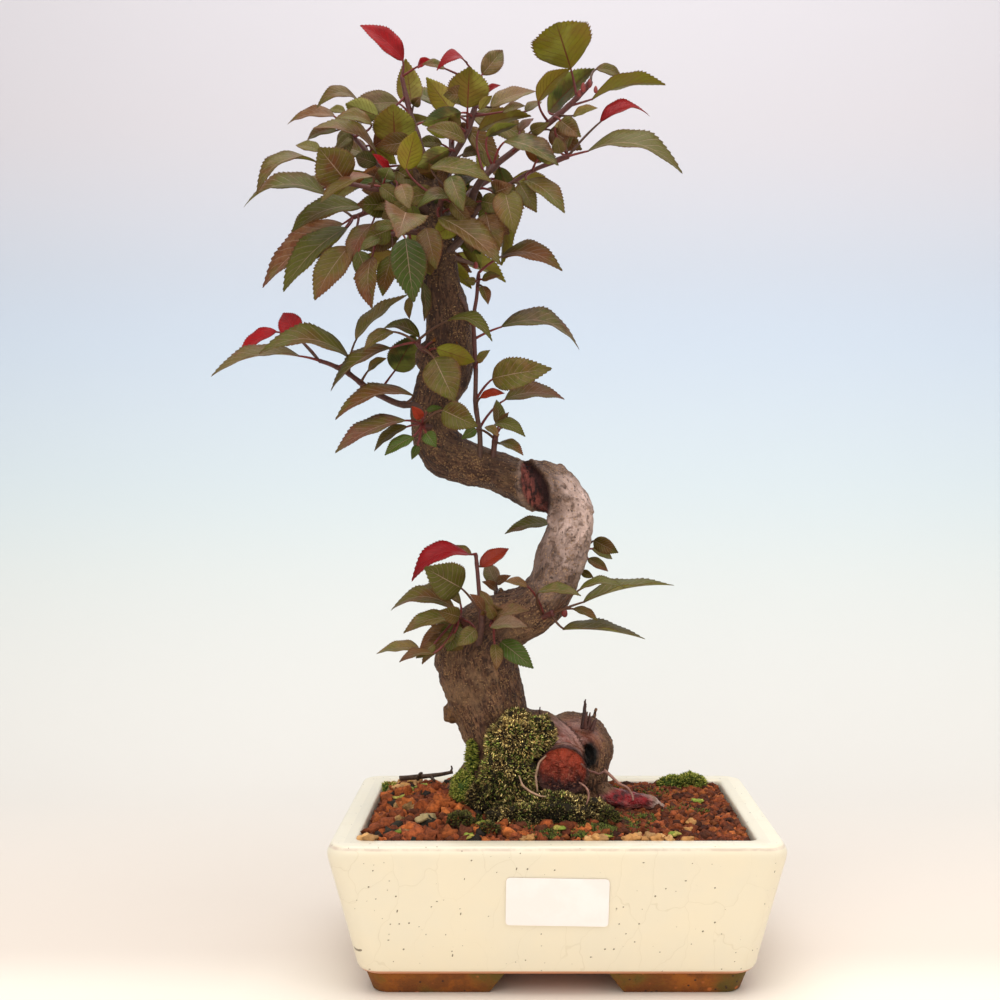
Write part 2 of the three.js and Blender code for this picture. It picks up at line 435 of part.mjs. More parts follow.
// A leafy stem gives its points and the radii along it, then its leaves. A leaf gives where on the
// stem its stalk leaves, 0 at the root and 1 at the tip, then base x z, tip x z, the depths of base
// and tip, the width seen, negative where the underside shows, and the height of its arch.
const SHOOTS = {
  crown_top_left: {
    stem: [[-58, 2, 362], [-64, 5, 385], [-70, 8, 405], [-74, 8, 422]],
    radii: [2.6, 2, 1.6, 1.2],
    leaves: [
      [1, -73, 429, -94, 446, 8, 0, 10, 3], [0.75, -69, 408, -72, 430, 16, 22, -13, 2],
      [1, -66, 426, -59, 429, 4, -4, 4, 1], [0.8, -85, 402, -101, 408, 2, -6, -12, 2],
      [0.45, -77, 388, -78, 408, -2, -10, -21, 2],
      [0.3, -80, 375, -88, 384, 0, -4, 4, 1],
    ],
  },
  crown_top_right: {
    stem: [[-57, -1, 358], [-50, -4, 380], [-42, -6, 395], [-37, -4, 412], [-36, -2, 420]],
    radii: [2.6, 2, 1.7, 1.4, 1.1],
    leaves: [
      [0.9, -53, 425, -64, 427, -2, -8, 4, 1.5], [1, -42, 427, -57, 424, -10, -18, 5, 6],
      [0.55, -50, 405, -62, 421, 6, 12, -12, 2], [0.5, -42, 406, -41, 426, -14, -22, -20, 1],
      [1, -35, 422, -25, 434, 4, 12, 10, 1],
      [0.4, -43, 390, -62, 396, -14, -24, 8, 3], [0.7, -31, 406, -9, 414, 4, 10, 7, 2],
      [0.75, -36, 405, -30, 412, -14, -20, -4, 1], [0.6, -25, 404, -14, 407, -12, -18, 4, 1],
      [0.62, -14, 404, -6, 409, 14, 20, 4, 1],
    ],
  },
  crown_left_upper: {
    stem: [[-59, 2, 357], [-75, 8, 368], [-88, 14, 382], [-97, 18, 392], [-104, 20, 398]],
    radii: [2.4, 2, 1.6, 1.3, 1.1],
    leaves: [
      [0.85, -95, 410, -115, 406, 14, 8, 6, 6],
      [0.75, -88, 398, -106, 401, 6, -4, 6, 3], [1, -106, 402, -129, 398, 22, 28, 5, 3],
      [0.5, -86, 384, -117, 396, 4, -8, 6, 6], [0.95, -105, 395, -120, 389, 28, 36, 5, 3],
      [0.8, -98, 393, -106, 386, 10, 4, 6, 1],
    ],
  },
  crown_left_mid: {
    stem: [[-57, -2, 354], [-74, -10, 364], [-92, -16, 368], [-106, -18, 371]],
    radii: [2.4, 1.9, 1.5, 1.2],
    leaves: [
      [1, -113, 385, -125, 388, -12, -6, 5, 1], [1, -115, 380, -144, 364, -24, -36, 6, 8],
      [0.85, -101, 371, -114, 387, -30, -40, 20, 1], [1, -110, 364, -150, 358, -14, -6, 7, 8],
      [1, -111, 367, -121, 373, -8, -2, 4, 1], [0.6, -88, 373, -113, 360, -28, -38, 6, 3],
      [0.4, -77, 371, -97, 366, 2, 8, 5, 2], [0.35, -74, 369, -70, 357, -24, -32, 9, 1],
    ],
  },
  crown_left_low: {
    stem: [[-55, 1, 344], [-70, 6, 352], [-86, 12, 356], [-98, 16, 353]],
    radii: [2.4, 1.9, 1.5, 1.2],
    leaves: [
      [0.85, -93, 358, -127, 346, 6, -2, 10, 5], [1, -110, 358, -127, 346, 26, 34, 6, 2],
      [1, -102, 350, -141, 319, 18, 26, 12, 4], [1, -100, 348, -131, 317, 8, 2, 12, 4],
      [0.9, -99, 339, -116, 313, -6, -14, 14, 3], [1, -106, 342, -115, 333, 28, 32, 5, 1],
      [0.7, -88, 350, -99, 330, -2, -10, 9, 3],
    ],
  },
  crown_hanging: {
    stem: [[-55, -3, 340], [-66, -12, 346], [-78, -16, 345], [-87, -16, 341]],
    radii: [2.2, 1.8, 1.4, 1.1],
    leaves: [
      [0.95, -84, 343, -94, 337, -24, -30, 5, 1], [1, -95, 337, -88, 320, -16, -14, 10, 2],
      [1, -88, 334, -88, 309, -24, -32, 10, 3], [0.7, -78, 335, -83, 315, -20, -18, 9, 2],
      [0.6, -72, 343, -68, 312, -28, -36, 17, 3], [0.35, -62, 348, -57, 328, -24, -32, 12, 2],
      [0.5, -72, 355, -76, 343, -24, -54, 20, 4], [0.6, -77, 357, -90, 357, -6, -4, 4, 1],
      [0.3, -64, 322, -63, 303, -18, -17, 5, 1], [0.45, -69, 315, -70, 304, -12, -10, 4, 1],
    ],
  },
  crown_front: {
    stem: [[-56, -2, 350], [-55, -14, 360], [-52, -20, 368]],
    radii: [2, 1.6, 1.2],
    leaves: [
      [0.7, -49, 359, -67, 357, -26, -36, 6, 7], [0.4, -56, 353, -26, 330, -22, -34, 12, 3],
      [1, -50, 373, -44, 356, -28, -36, 10, 2], [1, -60, 377, -30, 370, -18, -20, 8, 3],
      [0.6, -72, 376, -67, 395, -18, -24, -12, 1],
    ],
  },
  shoot_right_main: {
    stem: [
      [-54, -1, 336], [-46, -2, 342], [-42, -4, 353], [-38, -6, 367], [-30, -6, 377], [-20, -4, 385],
      [-10, -2, 393], [0, 0, 401], [10, 2, 410], [18, 3, 419],
    ],
    radii: [3, 2.8, 2.5, 2.2, 2, 1.9, 1.8, 1.7, 1.6, 2],
    leaves: [
      [0.9, 8, 425, 1, 447, 2, -32, -29, 2], [0.75, -8, 409, 8, 425, -10, -18, -8, 3],
      [0.8, -3, 404, 20, 425, 12, 20, -12, 2], [1, 20, 425, 33, 420, 8, 14, 5, 2],
      [0.85, 18, 410, 54, 417, 6, 16, -7, 4], [0.8, 9, 402, 21, 406, -8, -14, 4, 1],
      [0.78, 3, 400, 13, 392, -16, -24, 9, 1], [0.45, -24, 390, 2, 378, -16, -28, 9, 3],
      [0.4, -37, 395, -11, 402, 8, 12, -8, 3], [0.6, -17, 394, -10, 401, 6, 12, 4, 1],
      [0.45, -33, 392, -18, 398, -12, -16, -5, 1],
    ],
  },
  shoot_right_low: {
    stem: [
      [-54, -4, 334], [-43, -9, 345], [-38, -10, 356], [-30, -12, 363], [-20, -12, 370],
      [-10, -10, 376], [2, -8, 381], [7, -8, 383],
    ],
    radii: [2, 1.8, 1.6, 1.4, 1.3, 1.2, 1.8, 1.6],
    leaves: [
      [0.95, 16, 385, 62, 374, -10, -16, 9, 9], [1, 22, 399, 46, 402, -2, 6, 5, 6],
      [0.7, -14, 371, 5, 355, -20, -30, 9, 3],
      [0.55, -24, 366, -19, 345, -20, -28, 14, 3], [0.35, -33, 355, -28, 333, -18, -26, 14, 3],
    ],
  },
  shoot_upright: {
    stem: [
      [-36, -2, 234], [-36, -7, 248], [-38, -9, 263], [-38, -9, 280], [-39, -9, 303],
      [-37.5, -9, 315], [-36.5, -9, 327],
    ],
    radii: [1.8, 1.5, 1.4, 1.3, 1.2, 1.1, 1],
    leaves: [
      [1, -26, 334, 4, 327, -10, -18, 9, 6],
      [0.6, -26, 300, 12, 289, -6, 4, 8, 9], [0.35, -30, 275, -1, 280, -16, -30, 15, 5],
      [0.2, -24, 265, 5, 265, 2, 10, 8, 4],
      [0.3, -36, 266, -24, 268, -17, -22, 4, 1],
    ],
  },
  spur_right: {
    stem: [[-30, 0, 232], [-29, -4, 243], [-28, -6, 249]],
    radii: [2, 1.7, 1.5],
    leaves: [
      [1, -27, 252, -28, 265, -2, 2, 6, 1],
      [1, -29, 253, -14, 247, -14, -22, 6, 3], [0.6, -27, 244, -15, 238, -13, -22, 5, 2],
    ],
  },
  cluster_left: {
    stem: [[-54, -2, 284], [-63, -8, 289], [-67, -10, 293]],
    radii: [2, 1.6, 1.3],
    leaves: [
      [1, -52, 303, -30, 293, -18, -23, 6, 6], [1, -79, 290, -108, 269, -14, -10, 6, 4],
      [1, -78, 298, -92, 289, -14, -22, 6, 2], [0.8, -65, 295, -85, 297, -2, 8, 5, 5],
      [0.6, -58, 285, -48, 264, -18, -25, 18, 2],
    ],
  },
  branch_left: {
    stem: [
      [-60, -2, 256], [-66, -4, 262], [-75, -4, 263], [-84, -3, 267], [-92, -2, 272],
      [-100, 0, 278], [-108, 2, 282], [-114, 3, 284],
    ],
    radii: [2.6, 2.2, 2, 1.8, 1.7, 1.5, 1.4, 1.2],
    leaves: [
      [0.25, -68, 267, -106, 255, -12, -24, 7, 6], [1, -123, 286, -166, 276, 2, -8, 6, 5],
      [0.8, -99, 285, -143, 287, -9, -20, 10, 9], [1, -134, 298, -153, 286, 14, 20, 6, 2],
      [1, -124, 295, -131, 307, 6, 12, 12, 1], [0.7, -96, 294, -70, 316, 12, 20, 6, 2],
      [0.45, -77, 279, -67, 297, 14, 22, -15, 2], [0.6, -90, 279, -81, 285, -8, -14, 4, 1],
    ],
  },
  spur_front: {
    stem: [[-60, -4, 252], [-63, -12, 252], [-64, -15, 253]],
    radii: [2, 1.7, 1.5],
    leaves: [
      [0.8, -54, 260, -37, 252, -20, -29, 13, 2],
      [1, -72, 255, -106, 239, -22, -32, 8, 3],
      [1, -71, 252, -87, 240, -10, -8, 5, 2], [1, -68, 247, -82, 238, -25, -32, 6, 1],
    ],
  },
  shoot_low_red: {
    stem: [
      [-38, -6, 134], [-37, -16, 146], [-35, -22, 158], [-36, -23, 168], [-37, -22, 180], [-38, -22, 191],
    ],
    radii: [2.6, 2.4, 2, 1.3, 1.2, 1.1],
    leaves: [
      [1, -41, 190, -69, 177, -26, -34, 9, 8], [0.45, -45, 174, -63, 184, -28, -42, 18, 2],
      [1, -40, 190, -52, 193, -16, -12, 4, 1], [0.9, -36, 184, -22, 193, -18, -12, 7, 1],
    ],
  },
  cluster_low_left: {
    stem: [[-38, -6, 150], [-44, -18, 158], [-47, -22, 160]],
    radii: [2, 1.8, 1.6],
    leaves: [
      [0.8, -45, 166, -68, 172, -18, -12, 6, 5], [1, -48, 164, -79, 163, -24, -20, 8, 7],
      [1, -49, 159, -73, 152, -32, -40, 7, 3], [1, -46, 160, -56, 163, -34, -46, 8, 1],
      [1, -49, 155, -65, 145, -24, -24, 7, 2], [1, -48, 152, -64, 137, -31, -38, 7, 2],
      [1, -58, 147, -67, 140, -40, -46, 6, 1], [1, -65, 144, -86, 142, -14, -8, 5, 2],
      [1, -58, 142, -75, 138, -42, -50, 4, 2], [0.6, -38, 154, -47, 146, -28, -35, 8, 1],
    ],
  },
  cluster_low_right: {
    stem: [[-30, -4, 152], [-30, -16, 157], [-29, -20, 158]],
    radii: [2, 1.8, 1.6],
    leaves: [
      [1, -30, 159, -12, 163, -24, -30, 6, 2], [1, -31, 155, -13, 155, -28, -36, 6, 2],
      [1, -34, 163, -41, 171, -30, -35, 4, 1],
      [1, -30, 164, -36, 173, -18, -16, 5, 1], [1, -26, 148, -10, 135, -26, -35, 10, 2],
      [1, -29, 147, -28, 134, -30, -37, 6, 1],
    ],
  },
  twigs_low_top: {
    stem: [[-26, 2, 158], [-28, 3, 168], [-28, 4, 174]],
    radii: [1.8, 1.5, 1.2],
    leaves: [
      [1, -28, 176, -33, 186, 4, 8, 8, 1],
    ],
  },
  cluster_right_lower: {
    stem: [[-8, -4, 160], [-6, -13, 160], [0, -18, 162]],
    radii: [2, 1.8, 1.6],
    leaves: [
      [1, 14, 167, 58, 175, -17, -10, 4, 3], [1, 12, 173, 34, 174, -24, -27, 4, 3],
      [1, 9, 164, 21, 158, -24, -30, 4, 1], [0.9, 4, 154, 44, 149, -20, -16, 4, 2],
      [0.6, -13, 175, -24, 177, -19, -24, 4, 1], [0.6, -8, 172, 13, 170, -28, -33, 5, 2],
    ],
  },
  cluster_behind_bend: {
    stem: [[8, 3, 196], [13, 12, 194], [15, 16, 192]],
    radii: [2, 1.7, 1.5],
    leaves: [
      [1, 19, 197, 31, 191, 14, 10, 8, 2], [1, 18, 193, 28, 188, 21, 26, 5, 1],
      [1, 16, 188, 26, 182, 14, 12, 5, 1],
      [1, -2, 205, -24, 200, 18, 20, 6, 2],
    ],
  },
};

// Stems at the back of the crown, whose leaves follow a rule.
const BACK_RADII = [2.4, 1.8, 1.2];
const BACK_SHOOTS = {
  crown_back_left: { stem: [[-58, 2, 350], [-70, 24, 368], [-82, 40, 378]], seed: 11 },
  crown_back_right: { stem: [[-57, 2, 346], [-42, 24, 364], [-30, 38, 372]], seed: 23 },
  crown_back_top: { stem: [[-55, 3, 352], [-50, 24, 382], [-50, 36, 402]], seed: 37 },
  crown_back_low: { stem: [[-55, 2, 326], [-60, 24, 334], [-62, 38, 334]], seed: 53 },
};
const BACK_LEAF = { count: 4, length: [26, 36], stalk: 10, droop: 0.35, reach: 0.5, turn: 1.57 };

function backLeaves({ stem, seed }) {
  const { count, stalk, reach } = BACK_LEAF;
  const roll = dice(seed);
  const [x, y, z] = stem[stem.length - 1];
  const rows = [];
  for (let k = 0; k < count; k += 1) {
    const turn = k * BACK_LEAF.turn + roll();
    const length = lerp(...BACK_LEAF.length, roll());
    const [dx, dz] = [Math.cos(turn), 0.7 * Math.sin(turn)];
    const at = 1 - 0.45 * (k / count);
    const inward = (1 - at) * 30;
    const base = [x + dx * stalk, z + dz * stalk];
    const tip = [base[0] + dx * length * 0.8, base[1] + dz * length - BACK_LEAF.droop * length];
    const depth = y - inward;
    const seenWidth = (roll() < 0.5 ? -1 : 1) * lerp(6, 14, roll());
    rows.push([at, ...base, ...tip, depth, depth + reach * length, seenWidth, 3]);
  }
  return rows;
}

// A leaf: its edge runs from the stalk through the teeth to the tip, with the midrib down the middle.
const EDGE = [[0.1, 0.55], [0.37, 1], [0.42, 0.84], [0.68, 0.76], [0.73, 0.54]];
const MIDRIB = [0.34, 0.66];
const SMALL_EDGE = [[0.14, 0.6], [0.48, 1], [0.56, 0.76]];
const SMALL_MIDRIB = [0.5];

function leafBody({ surface, normal, across, chord, length }, root) {
  const small = length < BLADE.small;
  const edge = small ? SMALL_EDGE : EDGE;
  const midrib = small ? SMALL_MIDRIB : MIDRIB;
  const base = surface(0, 0);
  const flat = [[0, 0], [1, 0], ...midrib.map((t) => [t, 0])];
  for (const side of [1, -1]) flat.push(...edge.map(([t, w]) => [t, side * w]));
  const count = flat.length;
  const layer = (lift) => flat.map(([t, s]) => surface(t, s).addScaledVector(normal, lift));
  // The stalk is three-sided: its upper edges run into the base of the blade, its lower one too.
  const lean = new THREE.Quaternion().setFromUnitVectors(chord, base.clone().sub(root).normalize());
  const corners = (place, turn) => [1, -1].map((side) => {
    const out = across.clone().multiplyScalar(side * STALK_RADIUS).addScaledVector(normal, half(BLADE.thick));
    return place.clone().add(out.applyQuaternion(turn));
  });
  const keel = normal.clone().multiplyScalar(-STALK_RADIUS).applyQuaternion(lean).add(root);
  const still = new THREE.Quaternion();
  const points = [...layer(half(BLADE.thick)), ...layer(-half(BLADE.thick)), ...corners(base, still)];
  points.push(...corners(root, lean), keel);
  const [baseLeft, baseRight] = [2 * count, 2 * count + 1];
  const [rootLeft, rootRight, rootKeel] = [2 * count + 2, 2 * count + 3, 2 * count + 4];
  const under = count;
  const index = [baseLeft, baseRight, 2, rootLeft, rootRight, baseRight, rootLeft, baseRight, baseLeft];
  index.push(rootRight, rootKeel, under, rootRight, under, baseRight);
  index.push(rootKeel, rootLeft, baseLeft, rootKeel, baseLeft, under, rootLeft, rootKeel, rootRight);
  for (const side of [1, -1]) {
    const first = 2 + midrib.length + (side > 0 ? 0 : edge.length);
    const above = [side > 0 ? baseLeft : baseRight, ...edge.map((_, k) => first + k), 1];
    const below = [under, ...edge.map((_, k) => first + k + count), 1 + count];
    const face = (a, b, c) => (side > 0 ? index.push(b, a, c) : index.push(a, b, c));
    let rib = 2;
    for (let k = 0; k < above.length - 1; k += 1) {
      const next = k < edge.length ? edge[k][0] : 1;
      if (rib < 1 + midrib.length && next > half(flat[rib][0] + flat[rib + 1][0])) {
        face(above[k], rib + 1, rib);
        face(rib + 1 + count, below[k], rib + count);
        rib += 1;
      }
      face(above[k], above[k + 1], rib);
      face(below[k + 1], below[k], rib + count);
      face(above[k + 1], above[k], below[k]);
      face(above[k + 1], below[k], below[k + 1]);
    }
  }
  const geometry = new THREE.BufferGeometry();
  geometry.setAttribute("position", new THREE.Float32BufferAttribute(points.flatMap((p) => p.toArray()), 3));
  geometry.setIndex(index);
  return solid(geometry);
}

// The frame of a leaf: it turns about its midrib until it shows the width that is seen.
function leafAt(row, aside) {
  const [, baseX, baseZ, tipX, tipZ, baseY, tipY, width, arch] = row;
  const base = seen(baseX, baseY + aside, baseZ);
  const chord = seen(tipX, tipY + aside, tipZ).sub(base);
  const length = chord.length();
  chord.normalize();
  const sight = EYE.clone().sub(base);
  sight.addScaledVector(chord, -sight.dot(chord)).normalize();
  const up = new THREE.Vector3().crossVectors(chord, sight);
  if (up.z < 0) up.negate();
  const fullWidth = Math.max(Math.abs(width), BLADE.widthShare * length);
  const turn = Math.asin(width / fullWidth);
  const normal = up.multiplyScalar(Math.cos(turn)).addScaledVector(sight, Math.sin(turn));
  const across = new THREE.Vector3().crossVectors(normal, chord);
  const surface = (t, s) => {
    const lift = 4 * arch * t * (1 - t) + BLADE.fold * Math.abs(s) * half(fullWidth);
    const spot = base.clone().addScaledVector(chord, t * length);
    return spot.addScaledVector(across, s * half(fullWidth)).addScaledVector(normal, lift);
  };
  return { surface, normal, across, chord, length };
}

// Every leaf keeps the place where it is seen, and gives way along the line of sight until it is
// clear of the trunk, the other stems and the leaves placed before it.
const taken = [];

function takePath(points, radii, owner, steps, margin) {
  const path = limbPath(points);
  for (let k = 0; k <= steps; k += 1) {
    const step = (k / steps) * (radii.length - 1);
    const low = Math.min(Math.floor(step), radii.length - 2);
    const reach = lerp(radii[low], radii[low + 1], step - low) + margin;
    taken.push({ spot: path.getPoint(k / steps), reach, owner, outer: false });
  }
}

function leafBalls({ surface, length }, root, owner) {
  const balls = [];
  const rows = Math.ceil(length / 4);
  for (let k = 1; k <= rows; k += 1) {
    const t = k / rows;
    const spread = 0.62 * Math.sin(Math.PI * Math.min(1, 0.12 + 0.88 * t));
    for (const s of [-spread, 0, spread]) {
      balls.push({ spot: surface(t, s), reach: LEAF_BALL, owner, outer: t > 0.3 });
    }
  }
  const base = surface(0, 0);
  const steps = Math.ceil(base.distanceTo(root) / 3);
  for (let k = 1; k < steps; k += 1) {
    if (k / steps < 0.35) continue;
    balls.push({ spot: root.clone().lerp(base, k / steps), reach: STALK_BALL, owner, outer: false });
  }
  return balls;
}

function isClear(balls) {
  return balls.every((ball) => taken.every((other) => {
    let share = 1;
    if (other.owner === ball.owner) share = ball.outer && other.outer ? 0.5 : 0;
    const reach = share * (ball.reach + other.reach);
    return ball.spot.distanceToSquared(other.spot) >= reach * reach;
  }));
}

function settle(row, root, owner) {
  for (const aside of ASIDE) {
    const leaf = leafAt(row, aside);
    const balls = leafBalls(leaf, root, owner);
    if (isClear(balls)) {
      taken.push(...balls);
      return leaf;
    }
  }
  const leaf = leafAt(row, 0);
  taken.push(...leafBalls(leaf, root, owner));
  console.warn(`${owner}: no clear place for the leaf at ${row[1]}, ${row[2]}`);
  return leaf;
}

// A point on the straight stretches between a stem's own points, at least a little short of its end.
function stemPoint(stem, at) {
  const last = seen(...stem.at(-1)).distanceTo(seen(...stem.at(-2)));
  const step = Math.min(at * (stem.length - 1), stem.length - 1 - TIP_SETBACK / last);
  const low = Math.min(Math.floor(step), stem.length - 2);
  return seen(...stem[low]).lerp(seen(...stem[low + 1]), step - low);
}

function shoot(owner, { stem, radii, leaves }) {
  let body = limb(stem, radii, 5, stem.length - 1);
  for (const row of leaves) {
    const [at] = row;
    const root = stemPoint(stem, at);
    const leaf = settle(row, root, owner);
    const out = leaf.surface(0, 0).sub(root).normalize();
    root.addScaledVector(out, STALK_SUNK * lerp(radii[0], radii.at(-1), at));
    body = body.add(leafBody(leaf, root));
  }
  return body.subtract(grownTrunk);
}

// The whole tree in its pot.
const GLAZE = "#d9d6bd";
const BARK = "#5b463c";
const LEAF = "#5c5a3c";
const MOSS = "#4a5a22";

addPiece("pot", pot(), GLAZE, 0.35);
addPiece("blank_label", label(), "#f4f4f2", 0.6);
for (const [name, side] of [["left", -1], ["right", 1]]) {
  addPiece(`drain_screen_${name}`, screen(side * DRAIN.x), "#2a2d2b", 0.6);
  addPiece(`screen_wire_${name}`, wireClip(side * DRAIN.x), "#8d8f90", 0.4, 1);
}
addPiece("soil", soil(), "#7a3f26", 0.95);
addPiece("moss_mound", moss(MOSS_MOUND), MOSS, 1);
const grownMound = join(MOSS_MOUND.map(([place, size]) => lump(place, size, GAP, 1, 0.1)));
addPiece("moss_strip_left", moss(MOSS_STRIP).subtract(grownMound), "#6d8a2a", 1);
addPiece("moss_tuft_back_right", moss(MOSS_TUFT), "#5c7a2a", 1);
addPiece("moss_patch_back_left", moss(MOSS_PATCH), MOSS, 1);
addPiece("dead_twig", deadTwig(), "#4a4038", 0.9);
addPiece("trunk", trunk(), BARK, 0.85);

const shoots = { ...SHOOTS };
for (const [name, plan] of Object.entries(BACK_SHOOTS)) {
  shoots[name] = { stem: plan.stem, radii: BACK_RADII, leaves: backLeaves(plan) };
}
takePath(TRUNK.map((row) => row.slice(0, 3)), TRUNK.map((row) => 1.06 * row[3]), "trunk", 110, 0.6);
for (const [middle, size] of KNOBS) {
  taken.push({ spot: seen(...middle), reach: Math.max(...size), owner: "trunk", outer: false });
}
for (const [path, ends] of SNAGS) takePath(path, ends, "trunk", 6, 0.8);
for (const [name, { stem, radii }] of Object.entries(shoots)) {
  takePath(stem, radii, name, 6 * stem.length, 0.8);
}
for (const [name, plan] of Object.entries(shoots)) {
  addPiece(name, shoot(name, plan), LEAF, 0.6);
}

// The origin is under the middle of the whole, on the floor that the feet stand on.
const span = new THREE.Box3().setFromObject(bonsai);
const middle = span.getCenter(new THREE.Vector3());
bonsai.position.set(-middle.x, -middle.y, -span.min.z);
const model = new THREE.Group().add(bonsai);

export default model;
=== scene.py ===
# %% [markdown]
# An apple bonsai: a small apple tree with a trunk bent like an S, growing in a cream glazed pot.
# The solids that give its size are loaded as a frame, and each is dressed or replaced below.
# Every number of the plant is in millimetres, as it is seen from the camera: x and z are where the
# line of sight crosses the upright plane through the middle of the pot, and y is the depth behind it.

# %% Load the frame
import functools
import math
import random

import bmesh
import bpy
import numpy as np
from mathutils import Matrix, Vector, noise
from mathutils.kdtree import KDTree


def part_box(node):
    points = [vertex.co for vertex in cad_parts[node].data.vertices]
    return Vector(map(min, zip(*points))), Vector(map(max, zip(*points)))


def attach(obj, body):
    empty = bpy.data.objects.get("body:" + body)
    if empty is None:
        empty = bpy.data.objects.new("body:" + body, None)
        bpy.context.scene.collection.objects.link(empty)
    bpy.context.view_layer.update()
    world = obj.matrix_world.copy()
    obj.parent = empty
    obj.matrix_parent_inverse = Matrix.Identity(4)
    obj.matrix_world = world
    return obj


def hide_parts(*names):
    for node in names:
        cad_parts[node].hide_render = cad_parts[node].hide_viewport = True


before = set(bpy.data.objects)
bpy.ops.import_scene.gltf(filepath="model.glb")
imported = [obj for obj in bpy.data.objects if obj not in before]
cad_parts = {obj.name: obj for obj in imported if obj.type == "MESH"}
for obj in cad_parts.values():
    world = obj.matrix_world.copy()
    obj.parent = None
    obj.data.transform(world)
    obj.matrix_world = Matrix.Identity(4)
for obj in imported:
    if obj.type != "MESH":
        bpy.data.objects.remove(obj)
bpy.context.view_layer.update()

# %% [markdown]
# The camera stands 646 mm in front of the pot's middle, at half the tree's height. It looks straight
# ahead, and its picture is shifted instead of the camera being tilted, so that upright lines of the
# pot stay upright.

# %% The camera
# The pot's middle, not the frame's origin, is the middle of the plant's numbers, and heights count
# from 2 mm above the floor.
MM = 0.001
FLOOR = -2
pot_low, pot_high = (np.array(corner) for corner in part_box("pot"))
POT_SHIFT = np.array([(pot_low[0] + pot_high[0]) / 2 / MM, 0.0, pot_low[2] / MM - FLOOR])
EYE = np.array([-13.3, -646.0, 227.4])


def metres(points):
    """Millimetres about the pot's middle, as metres in the frame."""
    return (np.asarray(points, float) + POT_SHIFT) * MM


MIDDLE = metres((0, 0, 0)).tolist()


def seen(x, y, z):
    """The place seen at x, z on the middle plane, moved along the line of sight to the depth y."""
    return (np.array([x, 0.0, z]) - EYE) * (1 - y / EYE[1]) + EYE


camera_data = bpy.data.cameras.new("camera")
camera_data.lens = 48.1
camera_data.sensor_width = 36
camera = bpy.data.objects.new("camera", camera_data)
camera.location = metres(EYE)
camera.rotation_euler = (math.radians(90), 0, 0)
camera_data.shift_x, camera_data.shift_y = -0.0268, -0.0225
bpy.context.scene.collection.objects.link(camera)
bpy.context.scene.camera = camera
print("camera at", [round(n, 4) for n in camera.location])

# %% [markdown]
# Twigs, stalks, leaves, granules and moss are all small shapes that come many times. Each is
# modelled once as a template with Blender's own operators: a straight rod, a flat leaf, a ball.
# Copies are then bent into place by moving the template's points, and one mesh collects them.

# %% Templates and the mesh that collects them
class Template:
    """The points and faces of a small shape."""

    def __init__(self, bm):
        bmesh.ops.recalc_face_normals(bm, faces=bm.faces[:])
        bm.verts.index_update()
        self.spots = np.array([v.co[:] for v in bm.verts])
        self.faces = [tuple(v.index for v in f.verts) for f in bm.faces]
        bm.free()


class Heap:
    """Collects copies of templates, with values for each point, and makes one mesh of them."""

    def __init__(self):
        self.spots, self.faces, self.slots, self.marks = [], [], [], {}
        self.count = 0

    def add(self, template, spots, slot=0, **marks):
        self.faces += [tuple(n + self.count for n in face) for face in template.faces]
        self.slots += [slot] * len(template.faces)
        self.spots.append(spots)
        self.count += len(spots)
        for name, value in marks.items():
            value = np.asarray(value, float)
            if value.ndim < 2:
                value = np.broadcast_to(value, (len(spots), 3))
            self.marks.setdefault(name, []).append(value)

    def piece(self, name, materials):
        mesh = bpy.data.meshes.new(name)
        mesh.from_pydata(metres(np.vstack(self.spots)).tolist(), [], self.faces)
        mesh.polygons.foreach_set("material_index", self.slots)
        for mark, values in self.marks.items():
            layer = mesh.attributes.new(mark, "FLOAT_VECTOR", "POINT")
            layer.data.foreach_set("vector", np.vstack(values).ravel())
        return put(name, mesh, materials)


def put(name, mesh, materials):
    """An object of a finished mesh, riding on the pot and tree's one body."""
    for material in materials:
        mesh.materials.append(material)
    mesh.polygons.foreach_set("use_smooth", [True] * len(mesh.polygons))
    mesh.update()
    made = bpy.data.objects.new(name, mesh)
    bpy.context.scene.collection.objects.link(made)
    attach(made, "root")
    triangles = sum(len(p.vertices) - 2 for p in mesh.polygons)
    print(name, "triangles:", triangles)
    return made


# %% [markdown]
# A twig, a stalk and a root are rods that follow a smooth path through a few places. The rod is
# made straight from a cone, and each of its rings is then laid square to the path.

# %% Rods and balls
@functools.cache
def rod(sides, steps):
    """A straight closed rod along z from 0 to 1, with a radius of 1."""
    bm = bmesh.new()
    bmesh.ops.create_cone(bm, cap_ends=True, segments=sides, radius1=1, radius2=1, depth=1)
    long = [e for e in bm.edges if abs(e.verts[0].co.z - e.verts[1].co.z) > 0.5]
    if steps > 1:
        bmesh.ops.subdivide_edges(bm, edges=long, cuts=steps - 1, use_grid_fill=True)
    bmesh.ops.translate(bm, vec=(0, 0, 0.5), verts=bm.verts[:])
    return Template(bm)


@functools.cache
def ball(detail):
    """A ball with a radius of 1."""
    bm = bmesh.new()
    bmesh.ops.create_icosphere(bm, subdivisions=detail, radius=1)
    return Template(bm)


def along_spline(points, u):
    """Places on the smooth path through points, where u is 0 at the first and n at the nth."""
    points = np.array([seen(*p) for p in points])
    knots = np.vstack([2 * points[0] - points[1], points, 2 * points[-1] - points[-2]])
    k = np.clip(np.floor(u).astype(int), 0, len(points) - 2)
    w = (u - k)[:, None]
    a, b, c, d = knots[k], knots[k + 1], knots[k + 2], knots[k + 3]
    return 0.5 * (2 * b + (c - a) * w + (2 * a - 5 * b + 4 * c - d) * w**2 + (3 * b - a - 3 * c + d) * w**3)


def unit(v):
    return v / np.linalg.norm(v, axis=-1, keepdims=True)


